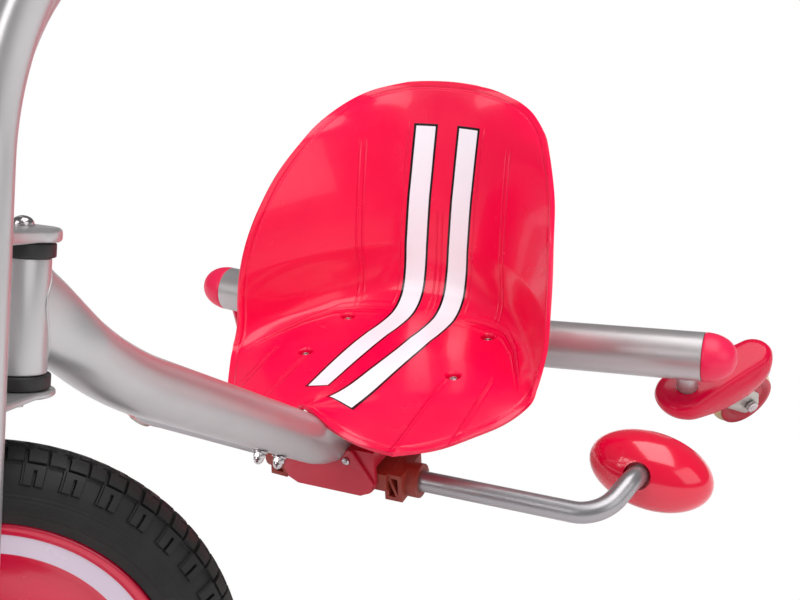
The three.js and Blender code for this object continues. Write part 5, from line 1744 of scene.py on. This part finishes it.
@dataclass
class Steering:
    """Clamp plates, cups, bolt, fork bars, handlebar and grips.

    Attributes:
        bar_radius: Radius of the fork bars.
        bar_foot: How far each bar's foot stands above the axle.
        straight: Height where the bars start to bend.
        bend: Radius of that bend.
        lean: How far it leans them back.
        flare: How far they flare out as they lean.
        riser: Length of the leaning run.
        elbow: Radius of the bend into the hand's run.
        hand: Length of the hand's run.
        hand_back: How far the hand's run points back.
        hand_drop: How far it points down.
        cross_height: Height of the crossbar.
        cross_inset: How far it ends inside the bars' middle lines.
        cross_radius: Radius of the crossbar.
        ribs: Ribs on each grip.
    """

    bar_radius: float = 11.1
    bar_foot: float = 17.3
    straight: float = 137.0
    bend: float = 170.0
    lean: float = math.radians(48.0)
    flare: float = math.radians(45.0)
    riser: float = 190.0
    elbow: float = 50.0
    hand: float = 168.0
    hand_back: float = 0.62
    hand_drop: float = 0.1
    cross_height: float = 262.0
    cross_inset: float = 9.0
    cross_radius: float = 8.0
    ribs: int = 16

    # The clamp plates' rounded ends and back: middle, radius, and where the arc starts and ends
    plate_arcs = (
        (BAR_OFFSET, 1.0 - BAR_SPREAD, 10.6, 180, 360), (BAR_OFFSET, BAR_SPREAD - 1.0, 10.6, 0, 180),
        (0, 0, 21.0, 120, 240),
    )
    # Each plate's lower and upper face, and how far its edges are rounded
    plates = (("upper", 94.7, 102.7, 2.6), ("lower", 8.2, 11.9, 1.5))
    # Radius and height from the head tube's end
    cup_profile = ((4.3, -7.0), (12.7, -7.0), (12.7, 0.3), (18.2, 0.3), (18.2, 8.3), (4.3, 8.3), (4.3, -7.0))
    # Radius and height
    bolt_profile = ((0.0, 1.0), (4.0, 1.0), (4.0, 103.0), (6.4, 103.0), (6.4, 103.7), (5.9, 103.9))
    # The grip's inner flange and its outer one: radius, and height from the bar's end
    grip_foot = ((0.0, 0.3), (11.9, 0.3), (11.9, -108.0), (16.4, -108.0), (16.4, -104.5), (15.2, -103.0))
    grip_rib = ((14.6, 0.0), (15.4, 1.2), (15.4, 3.2), (14.6, 4.4))
    grip_head = ((15.0, -3.0), (16.6, -1.0), (16.6, 3.0), (14.6, 5.0), (0.0, 5.0))

    def bar_route(self, side: int) -> list[Vector]:
        """The middle line of a fork bar that runs on into the handlebar.

        Args:
            side: 1 for left, -1 for right.

        Returns:
            Its points, in the steering frame.
        """
        foot = Vector((BAR_OFFSET, side * BAR_SPREAD, -AXLE_BELOW + self.bar_foot))
        rise = self.straight + self.bend * math.tan(self.lean / 2)
        shoulder = Vector((BAR_OFFSET, side * BAR_SPREAD, rise))
        riser = Vector((-math.cos(self.flare), side * math.sin(self.flare), 0.0)) * math.sin(self.lean)
        riser += Z_AXIS * math.cos(self.lean)
        elbow = shoulder + riser * self.riser
        outward = side * math.sqrt(1 - self.hand_back**2)
        hand = Vector((-self.hand_back, outward, -self.hand_drop)).normalized()
        return fillet([foot, shoulder, elbow, elbow + hand * self.hand], [self.bend, self.elbow], 22)

    def outline(self) -> list[Pair]:
        """The clamp plates' outline.

        Returns:
            Its points.
        """
        points = []
        for x, y, radius, start, end in self.plate_arcs:
            angles = [math.radians(start + (end - start) * i / 18) for i in range(19)]
            points += [(x + radius * math.cos(angle), y + radius * math.sin(angle)) for angle in angles]
        return points

    def build_plates(self) -> None:
        """Makes both clamp plates, the cups, the bolt and the nut."""
        bores = [(BAR_OFFSET, side * BAR_SPREAD, self.bar_radius + 0.3) for side in (1, -1)]
        for name, low, high, rounding in self.plates:
            shape = plate(f"{name}_clamp_plate_shaped", self.outline(), low, high, rounding, [(0, 0, 4.3), *bores])
            add(shape, STEER, SILVER, "fork", f"{name}_clamp_plate")
        for name, seat, sign in (("upper", HEAD_TOP, 1), ("lower", HEAD_START, -1)):
            cup = lathe(f"{name}_bearing_cup_shaped", [(r, sign * z) for r, z in self.cup_profile], 64, 0.9)
            add(cup, STRAIGHT @ Matrix.Translation((0, 0, seat)), BLACK, "frame", f"{name}_bearing_cup")
        bolt = lathe("steering_bolt_shaped", [*self.bolt_profile, *dome(5.9, 103.9, 4.2, 16)], 48)
        add(bolt, STEER, STEEL, "fork", "steering_bolt")
        parts = [hexagon(5.6, 2.4, 7.2, 0.6), drum(7.0, (0, 0, 6.9), (0, 0, 8.0), 40)]
        for part in parts:
            cut(part, drum(4.3, (0, 0, -5), (0, 0, 12), 32))
        add(join(parts, "steering_nut_shaped"), STEER, STEEL, "fork", "steering_nut")

    def build_bars(self) -> None:
        """Makes the fork bars, the crossbar and the grips."""
        for side in Side:
            label = side.label
            route = self.bar_route(side.value)
            bar = sweep(f"fork_bar_{label}_shaped", route, self.bar_radius, 12)
            add(bar, STEER, SILVER, "fork", f"fork_bar_{label}")
            place = STEER @ Matrix.Translation(route[-1]) @ turned((route[-1] - route[-2]).normalized())
            add(self.grip(f"hand_grip_{label}_shaped"), place, GRIP, "fork", f"hand_grip_{label}")
            soften(f"axle_bearing_{label}", BLACK, "fork", 1.2)
        route = self.bar_route(1)
        above = next(i for i, knot in enumerate(route) if knot.z > self.cross_height)
        low, high = route[above - 1], route[above]
        joint = low.lerp(high, (self.cross_height - low.z) / (high.z - low.z))
        reach = joint.y - self.cross_inset
        bar = drum(self.cross_radius, (joint.x, -reach, joint.z), (joint.x, reach, joint.z), 48)
        add(bar, STEER, SILVER, "fork", "handlebar_crossbar")

    def grip(self, name: str) -> bpy.types.Object:
        """Makes a ribbed grip with a flange at each end.

        Args:
            name: The object's name.

        Returns:
            The object, with the bar's end at its origin and Z outwards.
        """
        profile = list(self.grip_foot)
        for i in range(self.ribs):
            profile += [(radius, -100.0 + 94.0 * i / self.ribs + rise) for radius, rise in self.grip_rib]
        return lathe(name, [*profile, *self.grip_head], 56, 0.4)

    def build(self) -> None:
        """Makes the whole steering group."""
        self.build_plates()
        self.build_bars()


@dataclass
class FrontWheel:
    """Tyre, rim, one-piece crank and pedals.

    Attributes:
        tyre_height: How far the tyre stands out of the rim.
        pitches: Tread pitches round the tyre.
        lug: Height of the tread's lugs.
        spindle: How far each pedal's spindle reaches from the middle.
        crank_radius: Radius of the crank's rod.
        throw: How far the pedals stand from the axle.
    """

    tyre_height: float = 42.5
    pitches: int = 42
    lug: float = 2.4
    spindle: float = 175.0
    crank_radius: float = 7.0
    throw: float = 100.0

    # Where the tread changes within a pitch, as shares of it
    marks = (
        0.0, 0.03, 0.06, 0.08, 0.19, 0.21, 0.26, 0.28, 0.43, 0.45, 0.47, 0.49, 0.51, 0.53, 0.55, 0.57,
        0.75, 0.77, 0.92, 0.95, 0.97,
    )
    # Where it changes round the section, in degrees from the crown
    angles = (
        130, 118, 106, 95, 86, 78, 73.5, 71.5, 63, 53, 51, 47, 43.6, 42.4, 40.6, 39.4,
        33, 24, 16.6, 15.4, 12.6, 11.4, 5,
    )
    crown, groove, shoulder, step, side = 12, 16, 40, 43, 72
    # Upper half of the rim: radius and height
    rim_half = (
        (7.3, 39.4), (15.5, 39.4), (17.0, 37.8), (17.5, 20.0), (20.0, 15.0), (26.0, 10.5), (45.0, 6.0),
        (62.0, 3.6), (78.0, 3.4), (86.0, 5.0), (92.0, 8.6), (96.0, 11.6), (98.0, 12.2), (106.5, 12.6),
        (108.2, 13.0), (109.4, 15.2), (112.0, 16.6), (114.5, 16.6), (115.8, 15.6), (115.8, 14.6),
    )

    def tread(self, turn: float, angle: float) -> float:
        """How far the tread stands up at a place.

        Args:
            turn: Place round the wheel, in pitches.
            angle: Place round the tyre's section, in degrees from the crown.

        Returns:
            The height.
        """
        reach = abs(angle)
        share = (turn + (0.5 if angle < 0 else 0.0)) % 1.0
        if reach < self.crown:
            return self.lug * (1 if 0.06 < (turn + reach / 60) % 0.5 < 0.44 else 0.15)
        if reach < self.groove:
            return 0.0
        if reach < self.shoulder:
            return self.lug * (0.0 if 0.44 < share < 0.54 or share > 0.94 else 1.0)
        if reach < self.step:
            return self.lug * 0.25
        if reach < self.side:
            notch = 0.20 < share < 0.27 and reach > 52
            return 0.0 if share > 0.56 or notch else self.lug * (0.95 if share < 0.5 else 0.6)
        return 0.0

    def build_tyre(self) -> None:
        """Makes the tyre with its block tread."""
        angles = [-angle for angle in self.angles] + [0, *self.angles[::-1]]
        bead = TYRE_RADIUS - self.tyre_height + 0.3
        points = []
        radii = []
        for turn in (pitch + mark for pitch in range(self.pitches) for mark in self.marks):
            heading = 2 * math.pi * turn / self.pitches
            for angle in angles:
                section = TYRE_SECTION - self.lug + self.tread(turn, angle)
                if abs(angle) > self.side:
                    section = TYRE_SECTION - self.lug * (1 - ease(abs(angle), 74, 112))
                radius = max(TYRE_RADIUS - TYRE_SECTION + section * math.cos(math.radians(angle)), bead)
                z = section * math.sin(math.radians(angle))
                points.append((radius * math.cos(heading), radius * math.sin(heading), z))
                radii.append(radius)
        count = len(angles)
        faces = []
        for start in range(0, len(points), count):
            after = (start + count) % len(points)
            for i in range(count - 1):
                faces.append([start + i, after + i, after + i + 1, start + i + 1])
            faces.append([start + count - 1, after + count - 1, after, start])
        piece = meshed("front_tyre_shaped", points, faces)
        store(piece, "radius", radii)
        add(piece, WHEEL, TYRE, "front_wheel", "front_tyre", angle=32)

    def build_rim(self) -> None:
        """Makes the moulded disc rim with its lip and hub."""
        rim = lathe("front_rim_shaped", mirrored(self.rim_half), 144)
        store(rim, "radius", [math.hypot(vertex.co.x, vertex.co.y) for vertex in rim.data.vertices])
        add(rim, WHEEL, RIM, "front_wheel", "front_rim", angle=60)

    def build_crank(self) -> None:
        """Makes the one-piece crank and the pedals."""
        half = [(0, 75, 0), (self.throw, 87, 0), (self.throw, self.spindle, 0)]
        corners = [(-x, -y, z) for x, y, z in half[::-1]] + half
        crank = sweep("crank_shaped", fillet(corners, [12.0] * 4, 12), self.crank_radius, 8)
        add(crank, HUB, STEEL, "front_wheel", "crank")
        for side in Side:
            soften(f"pedal_{side.label}", BLACK, f"pedal_{side.label}", 1.0)

    def build(self) -> None:
        """Makes the whole wheel."""
        self.build_tyre()
        self.build_rim()
        self.build_crank()


# ---------------------------------------------------------------- stage

WHITE = (1.0, 1.0, 1.0, 1.0)
FLOOR_COLOUR = (0.86, 0.86, 0.87, 1.0)
# Strength of the world as fill light, in reflections and behind the trike
WORLD_FILL, WORLD_REFLECTED, WORLD_SEEN = 0.62, 0.16, 1.0


@dataclass(frozen=True)
class Softbox:
    """One studio light, in metres and watts.

    Attributes:
        name: Its name.
        size: Its width and height.
        place: Where it stands.
        aim: What it points at.
        power: Its power.
    """

    name: str
    size: Pair
    place: Place
    aim: Place
    power: float

    def build(self) -> None:
        """Adds the light."""
        light = bpy.data.lights.new(self.name, "AREA")
        light.shape = "RECTANGLE"
        light.size, light.size_y = self.size
        light.energy = self.power
        lamp = bpy.data.objects.new(self.name, light)
        lamp.location = self.place
        lamp.rotation_euler = (Vector(self.aim) - Vector(self.place)).to_track_quat("-Z", "Y").to_euler()
        bpy.context.scene.collection.objects.link(lamp)


SOFTBOXES = (
    Softbox("top_box", (2.2, 1.3), (-0.2, 0.5, 2.1), (0.0, 0.0, 0.2), 30.0),
    Softbox("front_box", (1.2, 1.4), (1.9, -0.9, 1.4), (0.0, 0.0, 0.2), 18.0),
    Softbox("side_box", (1.7, 1.5), (0.5, 2.2, 1.2), (-0.1, 0.0, 0.2), 11.0),
)


def build_floor() -> None:
    """Lays a pale floor that the camera sees as plain white."""
    bpy.ops.mesh.primitive_plane_add(size=14.0, location=(0.0, 0.0, -0.0008))
    floor = bpy.context.active_object
    floor.name = "floor"
    graph = Graph("pale_floor")
    seen = graph.add("ShaderNodeLightPath").outputs["Is Camera Ray"]
    pale = graph.add("ShaderNodeBsdfDiffuse", {"Color": FLOOR_COLOUR}).outputs[0]
    white = graph.add("ShaderNodeEmission", {"Color": WHITE, "Strength": 1.0}).outputs[0]
    mixed = graph.add("ShaderNodeMixShader", {0: seen, 1: pale, 2: white})
    graph.add("ShaderNodeOutputMaterial", {0: mixed.outputs[0]})
    floor.data.materials.append(graph.material)


def build_world() -> None:
    """Gives a white background to the camera, soft fill light, and a dim room to reflections."""
    world = bpy.data.worlds.new("studio")
    bpy.context.scene.world = world
    world.use_nodes = True
    tree = world.node_tree
    tree.nodes.clear()
    path = tree.nodes.new("ShaderNodeLightPath")
    shades = []
    for strength in (WORLD_FILL, WORLD_REFLECTED, WORLD_SEEN):
        shade = tree.nodes.new("ShaderNodeBackground")
        shade.inputs[0].default_value = WHITE
        shade.inputs[1].default_value = strength
        shades.append(shade)
    current = shades[0]
    for ray, shade in (("Is Glossy Ray", shades[1]), ("Is Camera Ray", shades[2])):
        mixed = tree.nodes.new("ShaderNodeMixShader")
        tree.links.new(path.outputs[ray], mixed.inputs[0])
        tree.links.new(current.outputs[0], mixed.inputs[1])
        tree.links.new(shade.outputs[0], mixed.inputs[2])
        current = mixed
    tree.links.new(current.outputs[0], tree.nodes.new("ShaderNodeOutputWorld").inputs[0])


def build_camera() -> None:
    """Stands the camera where the photograph was taken."""
    camera = bpy.data.cameras.new("camera")
    camera.sensor_width = 36.0
    camera.lens = 49.509
    camera.shift_x = -0.03772
    camera.shift_y = 0.06622
    camera.clip_end = 50.0
    right = Vector((-0.399613, 0.916063, -0.033731))
    up = Vector((-0.407114, -0.144385, 0.901893))
    back = Vector((0.821321, 0.37414, 0.43064))
    place = (0.63345, 0.4409, 0.60519)
    stand = bpy.data.objects.new("camera", camera)
    stand.matrix_world = Matrix.Translation(place) @ Matrix((right, up, back)).transposed().to_4x4()
    bpy.context.scene.collection.objects.link(stand)
    bpy.context.scene.camera = stand


def dress_frame() -> None:
    """Gives each CAD node that stays in view its slot's finish."""
    slots = {row["node"]: row["material_slot"] for row in frame["record"]["subparts"]}
    for name, node in frame["nodes"].items():
        node.data.materials.clear()
        node.data.materials.append(SLOT_FINISHES[slots[name]].build())


def main() -> None:
    logging.basicConfig(level=logging.INFO)
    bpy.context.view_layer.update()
    build_camera()
    dress_frame()
    for part in (WeldedFrame(), Seat(), SparkLevers(), Casters(), Steering(), FrontWheel()):
        LOG.info("building %s", type(part).__name__)
        part.build()
    build_floor()
    build_world()
    for softbox in SOFTBOXES:
        softbox.build()
    bpy.context.scene.view_settings.view_transform = "Standard"
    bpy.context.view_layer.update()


if __name__ == "__main__":
    main()
